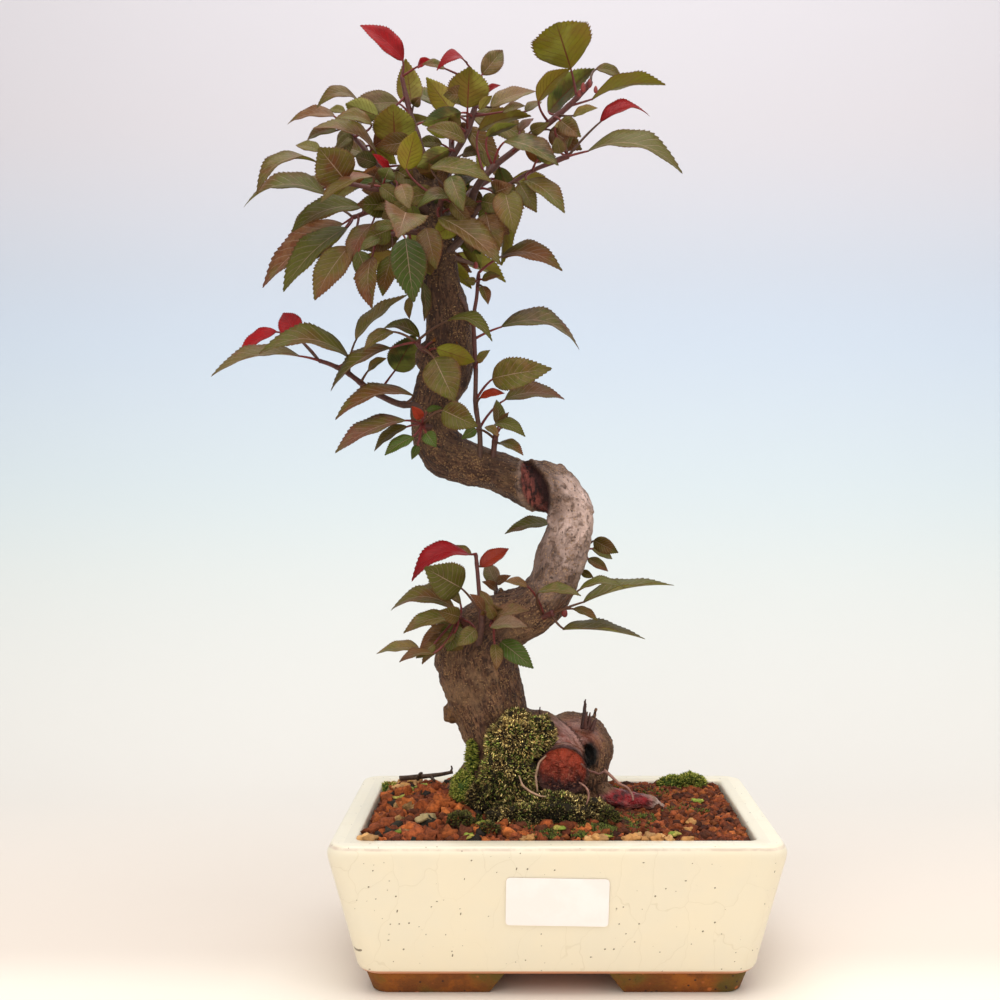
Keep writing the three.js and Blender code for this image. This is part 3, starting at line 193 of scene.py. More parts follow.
def frames_of(path):
    """The tangent, and two directions across it, at each point of a path."""
    tangent = unit(np.gradient(path, axis=0))
    span = unit(path[-1] - path[0])
    guide = np.array([0, 1.0, 0]) if abs(span[1]) < 0.8 else np.array([0, 0, 1.0])
    normal = unit(guide - tangent * (tangent @ guide)[:, None])
    return tangent, normal, np.cross(tangent, normal)


def bend(template, path, radii, wave=None):
    """The points of a rod bent along a path, with a radius at each step of it."""
    spots = template.spots
    step = np.clip(spots[:, 2], 0, 1) * (len(path) - 1)
    tangent, normal, across = frames_of(path)
    k = np.minimum(step.round().astype(int), len(path) - 1)
    radius = np.interp(step, np.arange(len(path)), radii)
    if wave is not None:
        radius = radius * wave(np.arctan2(spots[:, 1], spots[:, 0]), spots[:, 2])
    side = normal[k] * spots[:, :1] + across[k] * spots[:, 1:2]
    return path[k] + side * radius[:, None]


print("rod of 8 by 6:", len(rod(8, 6).faces), "faces; ball:", len(ball(2).faces), "faces")

# %% [markdown]
# Materials are node trees. The helpers below add a node with its values in one line. Uneven tone and
# small specks are wanted in glaze, bark, clay, moss and leaves alike, so each is a node group with
# named sockets, built once and used with other numbers in every material.

# %% Node helpers
def paint(code):
    """A web colour as the linear one that shaders use."""
    parts = [int(code[i:i + 2], 16) / 255 for i in (1, 3, 5)]
    return (*(p / 12.92 if p < 0.04045 else ((p + 0.055) / 1.055) ** 2.4 for p in parts), 1.0)


def feed(tree, socket, value):
    if isinstance(value, bpy.types.NodeSocket):
        tree.links.new(value, socket)
    else:
        socket.default_value = value


def add_node(tree, kind, settings=None, **inputs):
    made = tree.nodes.new(kind)
    for key, value in (settings or {}).items():
        setattr(made, key, value)
    for key, value in inputs.items():
        feed(tree, made.inputs[key.replace("_", " ")], value)
    return made


def calc(tree, operation, a, b=0.0, clamp=False):
    made = add_node(tree, "ShaderNodeMath", {"operation": operation, "use_clamp": clamp})
    feed(tree, made.inputs[0], a)
    feed(tree, made.inputs[1], b)
    return made.outputs[0]


def times(tree, a, b, clamp=False):
    return calc(tree, "MULTIPLY", a, b, clamp)


def plus(tree, a, b, clamp=False):
    return calc(tree, "ADD", a, b, clamp)


def minus(tree, a, b):
    return calc(tree, "SUBTRACT", a, b)


def fade(tree, value, low, high, start=0.0, end=1.0):
    """A value from start to end as it goes from low to high."""
    made = add_node(tree, "ShaderNodeMapRange", {"interpolation_type": "SMOOTHSTEP"})
    for socket, number in zip(made.inputs[:5], (value, low, high, start, end)):
        feed(tree, socket, number)
    return made.outputs[0]


def tint(tree, factor, a, b, mode="MIX"):
    made = add_node(tree, "ShaderNodeMix", {"data_type": "RGBA", "blend_type": mode})
    for socket, value in zip((made.inputs[0], made.inputs[6], made.inputs[7]), (factor, a, b)):
        feed(tree, socket, value)
    return made.outputs[2]


def patched(tree, body, mask, weight, code):
    """The body colour with another one over it where the mask is, at some weight."""
    return tint(tree, times(tree, mask, weight), body, paint(code))


def cloud(tree, vector, scale, detail=4.0, rough=0.55):
    made = add_node(tree, "ShaderNodeTexNoise", Vector=vector, Scale=scale, Detail=detail, Roughness=rough)
    return made.outputs["Fac"]


def stretched(tree, vector, scale):
    return add_node(tree, "ShaderNodeMapping", Vector=vector, Scale=scale).outputs[0]


def attribute(tree, name):
    return add_node(tree, "ShaderNodeAttribute", {"attribute_name": name}).outputs["Vector"]


def parts(tree, vector):
    return add_node(tree, "ShaderNodeSeparateXYZ", Vector=vector).outputs


def here(tree):
    return add_node(tree, "ShaderNodeTexCoord").outputs["Object"]


def finish_of(tree, color, rough, height=None, depth=0.0002, **constants):
    """The shader itself: colour, roughness, a bump of the given depth in metres, and constants."""
    shader = add_node(tree, "ShaderNodeBsdfPrincipled")
    feed(tree, shader.inputs["Base Color"], color)
    feed(tree, shader.inputs["Roughness"], rough)
    if height is not None:
        bump = add_node(tree, "ShaderNodeBump", Height=height, Distance=depth)
        tree.links.new(bump.outputs[0], shader.inputs["Normal"])
    for key, value in constants.items():
        shader.inputs[key.replace("_", " ")].default_value = value
    output = add_node(tree, "ShaderNodeOutputMaterial")
    tree.links.new(shader.outputs[0], output.inputs["Surface"])
    return shader, output


def new_material(name):
    material = bpy.data.materials.new(name)
    material.use_nodes = True
    material.node_tree.nodes.clear()
    return material, material.node_tree


# %% Two shared effects
def new_group(name, inputs, output):
    group = bpy.data.node_groups.new(name, "ShaderNodeTree")
    for label, kind in inputs:
        group.interface.new_socket(label, in_out="INPUT", socket_type=kind)
    group.interface.new_socket(output, in_out="OUTPUT", socket_type="NodeSocketFloat")
    return group, group.nodes.new("NodeGroupInput").outputs, group.nodes.new("NodeGroupOutput").inputs


NUMBER, ARROW = "NodeSocketFloat", "NodeSocketVector"
mottle, given, out = new_group(
    "mottle", [("Vector", ARROW), ("Scale", NUMBER), ("From", NUMBER), ("To", NUMBER)], "Mask")
feed(mottle, out["Mask"], fade(mottle, cloud(mottle, given["Vector"], given["Scale"], 5.0, 0.6),
                               given["From"], given["To"]))

specks, given, out = new_group(
    "specks", [("Vector", ARROW), ("Scale", NUMBER), ("Size", NUMBER), ("Share", NUMBER)], "Mask")
cells = add_node(specks, "ShaderNodeTexVoronoi", Vector=given["Vector"], Scale=given["Scale"],
                 Randomness=1.0)
chosen = calc(specks, "LESS_THAN", parts(specks, cells.outputs["Color"])[0], given["Share"])
half_size = times(specks, given["Size"], 0.5)
near = fade(specks, cells.outputs["Distance"], half_size, given["Size"], 1.0, 0.0)
feed(specks, out["Mask"], times(specks, chosen, near))


def mottled(tree, vector, scale, low=0.4, high=0.65):
    made = add_node(tree, "ShaderNodeGroup", {"node_tree": mottle}, Vector=vector, Scale=scale)
    made.inputs["From"].default_value = low
    made.inputs["To"].default_value = high
    return made.outputs[0]


def specked(tree, vector, scale, size=0.3, share=0.5):
    made = add_node(tree, "ShaderNodeGroup", {"node_tree": specks}, Vector=vector, Scale=scale)
    made.inputs["Size"].default_value = size
    made.inputs["Share"].default_value = share
    return made.outputs[0]


print("groups:", mottle.name, specks.name)

# %% [markdown]
# The pot is slip-thick stoneware: a body with leaning walls and a soft rim, on a ring that is cut
# into four corner feet. It is drawn from one rounded face that is extruded from level to level, up
# the outside, over the rim and down the inside. Blender's Boolean modifier cuts holes and notches.

# %% Shaping helpers for the pot
def closed_mesh(bm, name):
    bmesh.ops.remove_doubles(bm, verts=bm.verts[:], dist=1e-7)
    bmesh.ops.recalc_face_normals(bm, faces=bm.faces[:])
    mesh = bpy.data.meshes.new(name)
    bm.to_mesh(mesh)
    bm.free()
    return mesh


def modified(mesh, *modifiers):
    """The mesh after modifiers, each given as a type and its settings."""
    blank = bpy.data.objects.new("blank", mesh)
    bpy.context.scene.collection.objects.link(blank)
    for kind, settings in modifiers:
        modifier = blank.modifiers.new(kind.lower(), kind)
        for key, value in settings.items():
            setattr(modifier, key, value)
    graph = bpy.context.evaluated_depsgraph_get()
    shaped = bpy.data.meshes.new_from_object(blank.evaluated_get(graph))
    bpy.data.objects.remove(blank)
    return shaped


def cut_away(mesh, cutter):
    tool = bpy.data.objects.new("cutter", cutter)
    bpy.context.scene.collection.objects.link(tool)
    shaped = modified(mesh, ("BOOLEAN", {"object": tool, "operation": "DIFFERENCE", "solver": "EXACT"}))
    bpy.data.objects.remove(tool)
    return shaped


def rounded_loft(levels):
    """A closed block through level rounded rectangles: height, two half sizes, corner radius."""
    bm = bmesh.new()
    z, a, b, r = levels[0]
    made = bmesh.ops.create_grid(bm, x_segments=1, y_segments=1, size=1)
    bmesh.ops.scale(bm, vec=(a * MM, b * MM, 1), verts=made["verts"])
    bmesh.ops.bevel(bm, geom=bm.verts[:], offset=r * MM, offset_type="OFFSET", segments=9,
                    profile=0.5, affect="VERTICES", material=-1)
    bmesh.ops.translate(bm, vec=(0, 0, z * MM), verts=bm.verts[:])
    face = bm.faces[:][0]
    for z2, a2, b2, r2 in levels[1:]:
        grown = bmesh.ops.extrude_face_region(bm, geom=[face, *face.edges, *face.verts])
        face = next(g for g in grown["geom"] if isinstance(g, bmesh.types.BMFace))
        for v in face.verts:
            for axis, old, new in ((0, a - r, a2 - r2), (1, b - r, b2 - r2)):
                sign = math.copysign(1, v.co[axis])
                v.co[axis] = (sign * new + (v.co[axis] / MM - sign * old) * r2 / r) * MM
            v.co.z = z2 * MM
        z, a, b, r = z2, a2, b2, r2
    bmesh.ops.translate(bm, vec=MIDDLE, verts=bm.verts[:])
    return closed_mesh(bm, "loft")


def column(radius, low, high, x):
    bm = bmesh.new()
    bmesh.ops.create_cone(bm, cap_ends=True, segments=32, radius1=radius * MM, radius2=radius * MM,
                          depth=(high - low) * MM)
    bmesh.ops.translate(bm, vec=metres((x, 0, (low + high) / 2)), verts=bm.verts[:])
    return closed_mesh(bm, "column")


def wedge(low_half, high_half, low, high, along_x):
    """The opening between two feet: a bar through the ring, wider at the floor."""
    bm = bmesh.new()
    bmesh.ops.create_cube(bm, size=2)
    for v in bm.verts:
        reach, level = (low_half, low) if v.co.z < 0 else (high_half, high)
        across, run = v.co.x * reach * MM, v.co.y * 0.13
        v.co = (run, across, level * MM) if along_x else (across, run, level * MM)
    bmesh.ops.translate(bm, vec=MIDDLE, verts=bm.verts[:])
    return closed_mesh(bm, "wedge")


# %% The pot's shape
POT_BODY = [(8, 84.8, 54.8, 8), (8.3, 86.2, 56, 9), (9, 87.4, 57.2, 9.6), (10.2, 88.4, 58.2, 10),
            (12, 89.2, 58.8, 10), (30, 93.3, 62.5, 10), (50, 98, 66.7, 10), (60, 100.4, 68.8, 10),
            (62.5, 100.8, 69.4, 10), (64, 100.8, 69.7, 10), (65.6, 100.3, 69.8, 10), (67.3, 99.4, 69.2, 9.8),
            (67.8, 98.9, 68.8, 9.4), (68, 98.2, 68.1, 9), (68, 90, 60, 5.4), (67.8, 89, 59, 4.8),
            (67.2, 88.3, 58.3, 4.3), (66, 87.8, 57.8, 4), (40, 83.6, 53.6, 4), (17, 80, 50, 4)]
FOOT_RING = [(-2, 81.6, 50.4, 7), (-1.2, 82.6, 51.2, 7), (9, 85.6, 55.4, 7)]
INSIDE_RING = [(-4, 74, 44, 4), (8.2, 74, 44, 4)]
DRAIN_HOLE = {"radius": 9, "low": 5, "high": 21}
OPENINGS = [  # half width at the floor and at the top, and whether it runs along x
    (30.6, 20.9, False), (21.5, 12.6, True)]
pot_body = rounded_loft(POT_BODY)
for hole_x in (-40, 40):
    pot_body = cut_away(pot_body, column(**DRAIN_HOLE, x=hole_x))
feet = cut_away(rounded_loft(FOOT_RING), rounded_loft(INSIDE_RING))
for low_half, high_half, along_x in OPENINGS:
    feet = cut_away(feet, wedge(low_half, high_half, -3, 11, along_x))
feet = modified(feet, ("BEVEL", {"width": 0.0008, "segments": 2, "limit_method": "ANGLE",
                                 "angle_limit": math.radians(50), "profile": 0.5}))
print("pot body faces:", len(pot_body.polygons), "feet faces:", len(feet.polygons))

# %% [markdown]
# The glaze is a thick cream one. It has a fine crackle, dark pits, a pinkish line where it ran thin
# along the rim, a grey on the inner wall that grows darker towards the soil, and it stops short of the
# bottom, where a strip of brown clay shows. The feet are bare clay with a little green on it.

# %% Glaze and bare clay
def clay_tone(tree, place):
    body = tint(tree, mottled(tree, place, 90.0), paint("#6f3b04"), paint("#9c5608"))
    body = tint(tree, mottled(tree, place, 45.0, 0.42, 0.6), body, paint("#5a4608"))
    body = tint(tree, specked(tree, place, 260.0, 0.35, 0.25), body, paint("#b5652c"))
    return tint(tree, specked(tree, place, 420.0, 0.3, 0.25), body, paint("#331c0c"))


def joined(tree, *masks):
    """The stronger of several masks at each place."""
    return functools.reduce(lambda a, b: calc(tree, "MAXIMUM", a, b), masks)


HOLLOW_OF_POT = {"half_long": 0.0817, "lean": 0.17, "longer_by": 0.03}  # in metres
glaze, tree = new_material("cream_glaze")
place = here(tree)
x, y, z = parts(tree, place)
level = minus(tree, z, MIDDLE[2])
body = tint(tree, mottled(tree, place, 22.0, 0.35, 0.7), paint("#e3d8bf"), paint("#dfd6c0"))
on_top = fade(tree, level, 0.0664, 0.0668)
u = plus(tree, x, times(tree, y, minus(tree, 1.0, on_top)))
v = plus(tree, times(tree, y, on_top), level)
flat = add_node(tree, "ShaderNodeCombineXYZ", X=u, Y=v).outputs[0]
warp = add_node(tree, "ShaderNodeTexNoise", Vector=place, Scale=38.0, Detail=3.0)
scaled = add_node(tree, "ShaderNodeVectorMath", {"operation": "SCALE"}, Scale=0.02)
feed(tree, scaled.inputs[0], warp.outputs["Color"])


def warped(tree, scale):
    """Flat coordinates, stretched and made uneven."""
    made = add_node(tree, "ShaderNodeVectorMath", {"operation": "ADD"})
    feed(tree, made.inputs[0], stretched(tree, flat, scale))
    feed(tree, made.inputs[1], scaled.outputs[0])
    return made.outputs[0]


def flat_specks(tree, vector, scale, size, share):
    """Small dark spots on a flat sheet of cells, of which a share gets one."""
    cells = add_node(tree, "ShaderNodeTexVoronoi", {"voronoi_dimensions": "2D"}, Vector=vector, Scale=scale)
    random_part = parts(tree, cells.outputs["Color"])
    chosen = calc(tree, "LESS_THAN", random_part[0], share)
    radius = times(tree, random_part[1], size)
    return times(tree, chosen, calc(tree, "LESS_THAN", cells.outputs["Distance"], radius))


lines = add_node(tree, "ShaderNodeTexVoronoi", {"feature": "DISTANCE_TO_EDGE", "voronoi_dimensions": "2D"},
                 Vector=warped(tree, (1.0, 0.45, 1.0)), Scale=62.0)
crackle = fade(tree, lines.outputs["Distance"], 0.003, 0.011, 1.0, 0.0)
crackle = times(tree, crackle, mottled(tree, place, 26.0, 0.36, 0.6))
body = patched(tree, body, crackle, 0.13, "#a08a5e")
pits = joined(tree, flat_specks(tree, stretched(tree, flat, (1.0, 0.45, 1.0)), 105.0, 0.04, 0.35),
              flat_specks(tree, stretched(tree, flat, (0.5, 1.0, 1.0)), 110.0, 0.036, 0.35),
              flat_specks(tree, flat, 240.0, 0.1, 0.2))
pits = times(tree, pits, mottled(tree, place, 600.0, 0.3, 0.5))
body = patched(tree, body, pits, 0.85, "#5d4c34")
edge = plus(tree, level, times(tree, cloud(tree, place, 60.0), 0.0008))
thin = times(tree, fade(tree, edge, 0.0662, 0.0669), fade(tree, edge, 0.0673, 0.068, 1.0, 0.0))
thin = times(tree, thin, mottled(tree, place, 120.0, 0.3, 0.6))
body = patched(tree, body, thin, 0.6, "#c0a698")
from_middle = calc(tree, "ABSOLUTE", minus(tree, x, MIDDLE[0]))
half_long = plus(tree, times(tree, level, HOLLOW_OF_POT["lean"]), HOLLOW_OF_POT["half_long"])
half_deep = minus(tree, half_long, HOLLOW_OF_POT["longer_by"])
inside = times(tree, calc(tree, "LESS_THAN", calc(tree, "ABSOLUTE", y), half_deep),
               calc(tree, "LESS_THAN", from_middle, half_long))
# Grey on the inner wall above the soil, darker towards the soil.
inner_grey = times(tree, inside, fade(tree, edge, 0.065, 0.0685, 0.8, 0.1))
body = tint(tree, inner_grey, body, paint("#8b8678"))
smudge = times(tree, fade(tree, level, 0.066, 0.068), mottled(tree, place, 55.0, 0.55, 0.75))
body = patched(tree, body, smudge, 0.3, "#cdbb98")
bare = fade(tree, edge, 0.0088, 0.0094, 1.0, 0.0)
body = tint(tree, bare, body, clay_tone(tree, place))
body = tint(tree, fade(tree, level, 0.0099, 0.0102, 0.85, 0.0), body, paint("#bf744a"))
height = minus(tree, cloud(tree, place, 35.0), times(tree, pits, 0.8))
height = minus(tree, height, times(tree, crackle, 0.12))
finish_of(tree, body, fade(tree, bare, 0.0, 1.0, 0.3, 0.8), height, 0.0003)

bare_clay, tree = new_material("bare_clay")
place = here(tree)
finish_of(tree, clay_tone(tree, place), 0.85, cloud(tree, place, 700.0), 0.0005)

pot_piece = put("glazed_pot", pot_body, [glaze])
pot_piece.data.set_sharp_from_angle(angle=math.radians(40))
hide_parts("pot")
feet_piece = put("pot_feet", feet, [bare_clay])
feet_piece.data.set_sharp_from_angle(angle=math.radians(40))
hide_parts("pot")

# %% [markdown]
# The blank label, the drain screens and their wire clips have the right shape in the frame already,
# so these nodes stay and only get a finish: satin paper, moulded plastic and dull wire.

# %% Finishes for the nodes that stay
def plain_finish(name, clouds, tones, rough, grain, depth, **constants):
    """A finish with two tones in clouds and a fine grain."""
    material, tree = new_material(name)
    place = here(tree)
    body = tint(tree, mottled(tree, place, clouds), *(paint(code) for code in tones))
    finish_of(tree, body, rough, cloud(tree, place, grain), depth, **constants)
    return material


paper = plain_finish("label_paper", 60.0, ("#ede5e2", "#f1eae8"), 0.42, 900.0, 0.00004)
plastic = plain_finish("screen_plastic", 300.0, ("#242826", "#3a3f3a"), 0.6, 1500.0, 0.00008)
dull_wire = plain_finish("dull_wire", 500.0, ("#8f9192", "#6c6d6c"), 0.42, 2500.0, 0.00004, Metallic=1.0)
for node_name, material in (("blank_label", paper), ("drain_screen_left", plastic),
                            ("drain_screen_right", plastic), ("screen_wire_left", dull_wire),
                            ("screen_wire_right", dull_wire)):
    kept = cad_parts[node_name]
    kept.data.materials.clear()
    kept.data.materials.append(material)
    print(node_name, "keeps its shape")

# %% [markdown]
# The soil is baked clay granules on a dark bed. Left of the trunk they are coarse and crumbly, right
# of it fine, with tan pebbles along the front. The bed is a grid raised by a formula. Granules are
# balls of 80 faces that noise makes lumpy, dropped at seeded random places on the bed.

# %% The bed
SOIL = {"edge": 65.6, "rise": 5.5, "x": -20, "y": 8, "spread": (48, 30), "fade": 14}
OPEN = (88, 58)  # half of the pot's opening, where the soil meets the wall
PILE = {"height": 7, "x": -47, "y": -10, "wide": 11, "deep": 13}
BED = {"half_x": 87.3, "half_y": 57.3, "below": 1.2, "rough": 0.9, "bottom": 18.5, "taper": (0.915, 0.87)}


def soil_level(x, y):
    wide, deep = SOIL["spread"]
    hump = np.exp(-0.5 * ((x - SOIL["x"]) / wide) ** 2 - 0.5 * ((y - SOIL["y"]) / deep) ** 2)
    pile = np.exp(-(((x - PILE["x"]) / PILE["wide"]) ** 2) - ((y - PILE["y"]) / PILE["deep"]) ** 2)
    near_wall = np.minimum((OPEN[0] - np.abs(x)) / SOIL["fade"], (OPEN[1] - np.abs(y)) / SOIL["fade"])
    return SOIL["edge"] + SOIL["rise"] * hump * np.clip(near_wall, 0, 1) + PILE["height"] * pile


def toned_material(name, rough, fine, depth, dark=0.55, light=1.25, specular=0.3):
    """A material that takes its colour from each point's tone, varied by clouds of two sizes."""
    material, tree = new_material(name)
    place = here(tree)
    tone = attribute(tree, "tone")
    shade = fade(tree, cloud(tree, place, fine, 3.0), 0.3, 0.7, dark, light)
    grey = add_node(tree, "ShaderNodeCombineColor", Red=shade, Green=shade, Blue=shade).outputs[0]
    body = tint(tree, 1.0, tone, grey, "MULTIPLY")
    finish_of(tree, body, rough, cloud(tree, place, 2 * fine), depth, Specular_IOR_Level=specular)
    return material


soil_clay = toned_material("soil_clay", 0.95, 500.0, 0.0008)
bm = bmesh.new()
bmesh.ops.create_grid(bm, x_segments=70, y_segments=46, size=1)
sheet_faces = bm.faces[:]
for v in bm.verts:
    bx, by = v.co.x * BED["half_x"], v.co.y * BED["half_y"]
    rough = noise.noise(Vector((bx * 0.35, by * 0.35, 3.0))) * BED["rough"]
    v.co = metres((bx, by, soil_level(bx, by) - BED["below"] + rough))
deep = bmesh.ops.extrude_face_region(bm, geom=sheet_faces, use_keep_orig=True)
low_verts = [g for g in deep["geom"] if isinstance(g, bmesh.types.BMVert)]
bottom = metres((0, 0, BED["bottom"]))[2]
for v in low_verts:
    v.co = (MIDDLE[0] + (v.co.x - MIDDLE[0]) * BED["taper"][0], v.co.y * BED["taper"][1], bottom)
bed = closed_mesh(bm, "soil_bed")
layer = bed.attributes.new("tone", "FLOAT_VECTOR", "POINT")
layer.data.foreach_set("vector", np.tile(paint("#5c3220")[:3], len(bed.vertices)))
bed_piece = put("soil_bed", bed, [soil_clay])
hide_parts("soil")

# %% [markdown]
# A granule of baked clay is a blunt lump. Sixty lumps are shaped once from a ball, and each granule
# is one of them, picked, turned and stretched by chance. One that would lie too deep in a neighbour
# is left out, so that the grains touch and still show one by one.

# %% The granules
def lumpy(template, seed, rough, wide=1.6):
    """The template's points as a lump of its own, from noise that differs with the seed."""
    shift = Vector((seed * 7.3, seed * 3.1, seed * 5.7))
    swell = [1 + rough * noise.noise(Vector(p) * wide + shift) for p in template.spots]
    return template.spots * np.array(swell)[:, None]


BARE = {"middle": (-8, -8), "half": (26, 16)}
EARTHS = ["#8c4523", "#9d5229", "#7b3c20", "#6a3320", "#a65c30", "#90492a", "#5a2f1e", "#84432a"]
DRY, DAMP = np.array((1.04, 1.02, 0.86)), np.array((0.65, 0.63, 0.6))
GRAIN_FIELDS = [  # from x, to x, sizes, tries
    (-87, -38, (2.2, 4.6), 3600), (-42, 22, (1.6, 3.2), 3600), (20, 87, (1.4, 2.7), 7000)]
GRAIN = {"half_x": 86.5, "half_y": 56.5, "inset": 0.7, "spacing": 0.62, "small": 0.62, "small_share": 0.35}
DAMP_RIGHT_OF, ODD_LEFT_OF = 20, -34


def is_bare(x, y):
    (a, b), (c, d) = BARE["middle"], BARE["half"]
    return ((x - a) / c) ** 2 + ((y - b) / d) ** 2 < 1


def has_room(x, y, size, taken):
    """Whether a granule keeps its distance from those that lie there already."""
    return all((x - a) ** 2 + (y - b) ** 2 >= (GRAIN["spacing"] * (size + c)) ** 2 for a, b, c in taken)


def varied(draw, code, spread=0.12):
    """A colour a little lighter or darker than the code."""
    return np.array(paint(code)[:3]) * (1 + draw.uniform(-spread, spread))


def turned(draw):
    """A matrix that turns a shape about the upright by chance."""
    turn = draw.uniform(0, 2 * math.pi)
    return np.array([[math.cos(turn), math.sin(turn), 0], [-math.sin(turn), math.cos(turn), 0], [0, 0, 1]])


draw = random.Random(7)
grains = Heap()
lumps_ready = [lumpy(ball(2), n, 1.0, 1.9) for n in range(60)]
taken_spots = []
for x_low, x_high, sizes, tries in GRAIN_FIELDS:
    for _ in range(tries):
        size = draw.uniform(*sizes) * (1.0 if draw.random() > GRAIN["small_share"] else GRAIN["small"])
        inset = GRAIN["inset"] * size
        gx = draw.uniform(max(x_low, inset - GRAIN["half_x"]), min(x_high, GRAIN["half_x"] - inset))
        gy = draw.uniform(inset - GRAIN["half_y"], GRAIN["half_y"] - inset)
        if is_bare(gx, gy) or not has_room(gx, gy, size, taken_spots):
            continue
        taken_spots.append((gx, gy, size))
        wide, flat_part = draw.uniform(0.9, 1.2), draw.uniform(0.8, 1.0)
        shape = draw.choice(lumps_ready) * (size * wide, size, size * flat_part)
        high = soil_level(gx, gy) + draw.uniform(-0.2, 0.5) * size
        tone = varied(draw, draw.choice(EARTHS), 0.4) * DRY
        if gx > DAMP_RIGHT_OF and draw.random() < 0.75:
            tone = tone * DAMP
        if gx < ODD_LEFT_OF and draw.random() < 0.14:
            tone = varied(draw, draw.choice(["#2d2920", "#2a211a", "#a9804e"]), 0.3)
        grains.add(ball(2), shape @ turned(draw) + (gx, gy, high), tone=tone)
grains_piece = grains.piece("clay_granules", [soil_clay])
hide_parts("soil")
print("granules:", len(taken_spots))

# %% [markdown]
# The tan pebbles are river gravel, smoother than the clay. They are the same lumps with less noise,
# set one by one, because the eye finds them along the front wall at once.

# %% Pebbles
PEBBLES = [(-60, -30), (-76, 39), (-71, 41), (-79, 36), (-12, -55), (-14.5, -54.5), (14, -55.5),
           (17.5, -54.8), (20, -55.8), (31, -55.5), (34.5, -54), (38, -55.5), (41, -53.5), (44.5, -55.3),
           (50, -55.8), (58, -55.6), (-85, -55), (-82, -56), (-79, 52), (-74, 53), (-70, 51), (-83, 50),
           (63, -28), (60, -40), (36, -50), (47, -50)]
TANS = ["#bd8a50", "#b07e48", "#c69760", "#a1784a"]
pebble_stone = toned_material("pebble_stone", 0.8, 350.0, 0.0003, 0.8, 1.15)
pebbles = Heap()
for k, (px, py) in enumerate(PEBBLES):
    size = 3.2 if k == 0 else draw.uniform(1.7, 2.9)
    shape = lumpy(ball(3), 90 + k, 0.8, 1.3) * (size * (1.7 if k == 0 else 1.15), size, size * 0.8)
    tone = varied(draw, "#a08c62" if k == 0 else draw.choice(TANS), 0.12)
    pebbles.add(ball(3), shape @ turned(draw) + (px, py, soil_level(px, py) + 0.75 * size), tone=tone)
pebbles_piece = pebbles.piece("tan_pebbles", [pebble_stone])

# %% [markdown]
# The trunk grew as one piece: a bent limb, a cut stump and roots at its foot, knots, and a long
# wound that healed with a lip. Rods and balls are laid into each other, a voxel remesh fuses them
# to one skin, and the skin's points are then pushed in and out for the wound, cracks and wrinkles.

# %% The trunk's numbers
TRUNK = [
    (-27, 0, 58, 19), (-27, 0, 76, 19), (-26, 0, 96, 14.5), (-31, 0, 115, 17), (-37, -1, 134, 19),
    (-36, -2, 149, 17.5), (-25, -3, 157, 14), (-11, -4, 163, 12.5), (-1, -4, 174, 11.5), (4, -3, 189, 11.8),
    (8, -2, 203, 10.7), (8, -1, 213, 10.2), (1, 0, 220.5, 11.6), (-8, 1, 223.5, 12.4), (-18, 2, 226, 10.2),
    (-30, 4, 231, 9.6), (-42, 5, 234, 10.6), (-53, 6, 239.5, 12), (-60, 5, 252, 9.6), (-58, 4, 266, 11),
    (-52, 2, 281, 12.3), (-51, 1, 300, 11), (-54, 0, 320, 9.3), (-55, 0, 336, 7.5), (-58, 0, 353, 6.5),
    (-63, 0, 378, 4.5),
]
ROOTS = [
    ([(-24, 0, 110), (-10, -2, 106), (1, -5, 98), (4, -13, 89), (4, -23, 85.5)], [8, 9, 11, 12, 12]),
    ([(-14, 2, 100), (2, 2, 104), (12, 1, 104), (19, -3, 98), (19, -5, 86), (18, -6, 64)],
     [9, 9, 9.5, 9, 7, 5]),
    ([(16, -6, 88), (22, -7, 77), (32, -6, 71.5), (44, -5, 71), (56, -2, 64)], [5, 4.6, 4.8, 3.6, 2]),
    ([(-32, -4, 92), (-42, -9, 78), (-50, -12, 66), (-55, -14, 54)], [7, 6, 4, 3]),
    ([(-34, 6, 90), (-46, 22, 78), (-56, 34, 70), (-62, 40, 60)], [7, 5, 4, 2.5]),
    ([(-14, 8, 92), (-2, 24, 80), (10, 36, 72), (20, 42, 62)], [7, 5, 4, 2.5]),
    ([(-24, -6, 92), (-26, -12, 78), (-29, -16, 62)], [8, 6, 4]),
]
KNOBS = [
    ((-49, -3, 114), (4.5, 5, 4.5)), ((-57, -2, 150), (4, 4, 5)), ((-49, -6, 139), (8.5, 9, 10)),
    ((1, -7, 176), (9, 9, 9)), ((15.5, -4, 212), (3.5, 4, 3.5)), ((3, 1, 230.5), (2.6, 3, 4)),
    ((-62, -2, 286), (5, 6, 7)), ((-45, 0, 302), (5, 6, 6)), ((-6, 0, 84), (26, 15, 22)),
]
SNAGS = [
    ([(-56, -2, 152), (-60, -3, 160)], [2.5, 1]), ([(15, 0, 106), (15, -1, 120)], [1.6, 0.9]),
    ([(18, 2, 104), (20, 2, 116)], [1.5, 0.9]), ([(-60, -3, 366), (-71, -5, 381)], [4, 2]),
    ([(-26, -3, 160), (-26, -3, 174)], [2, 1]),
]
SMALL_KNOTS = [((8, -13.5, 200), 2.6), ((6, -12.5, 218), 2.2), ((17, -7, 211), 2.4), ((-1, -11.5, 198), 1.8),
               ((-20, -9, 228), 2.3), ((-28, -6, 226), 1.8), ((14, -9, 186), 1.6), ((-52, -6, 262), 2.2),
               ((-48, -9, 285), 2.4), ((-57, -7, 306), 2.0), ((-30, -17, 128), 2.4), ((-44, -16, 122), 2.2)]

# %% [markdown]
# A rod for each limb and root, and a ball for each knot, overlap like clay pressed together. The
# Remesh modifier in voxel mode makes one closed skin of them, and its small cells keep every swelling.

# %% Fusing the trunk
def bark_wave(turn, along):
    return 1 + 0.05 * np.sin(3 * turn + 9 * along) + 0.03 * np.sin(5 * turn - 20 * along)


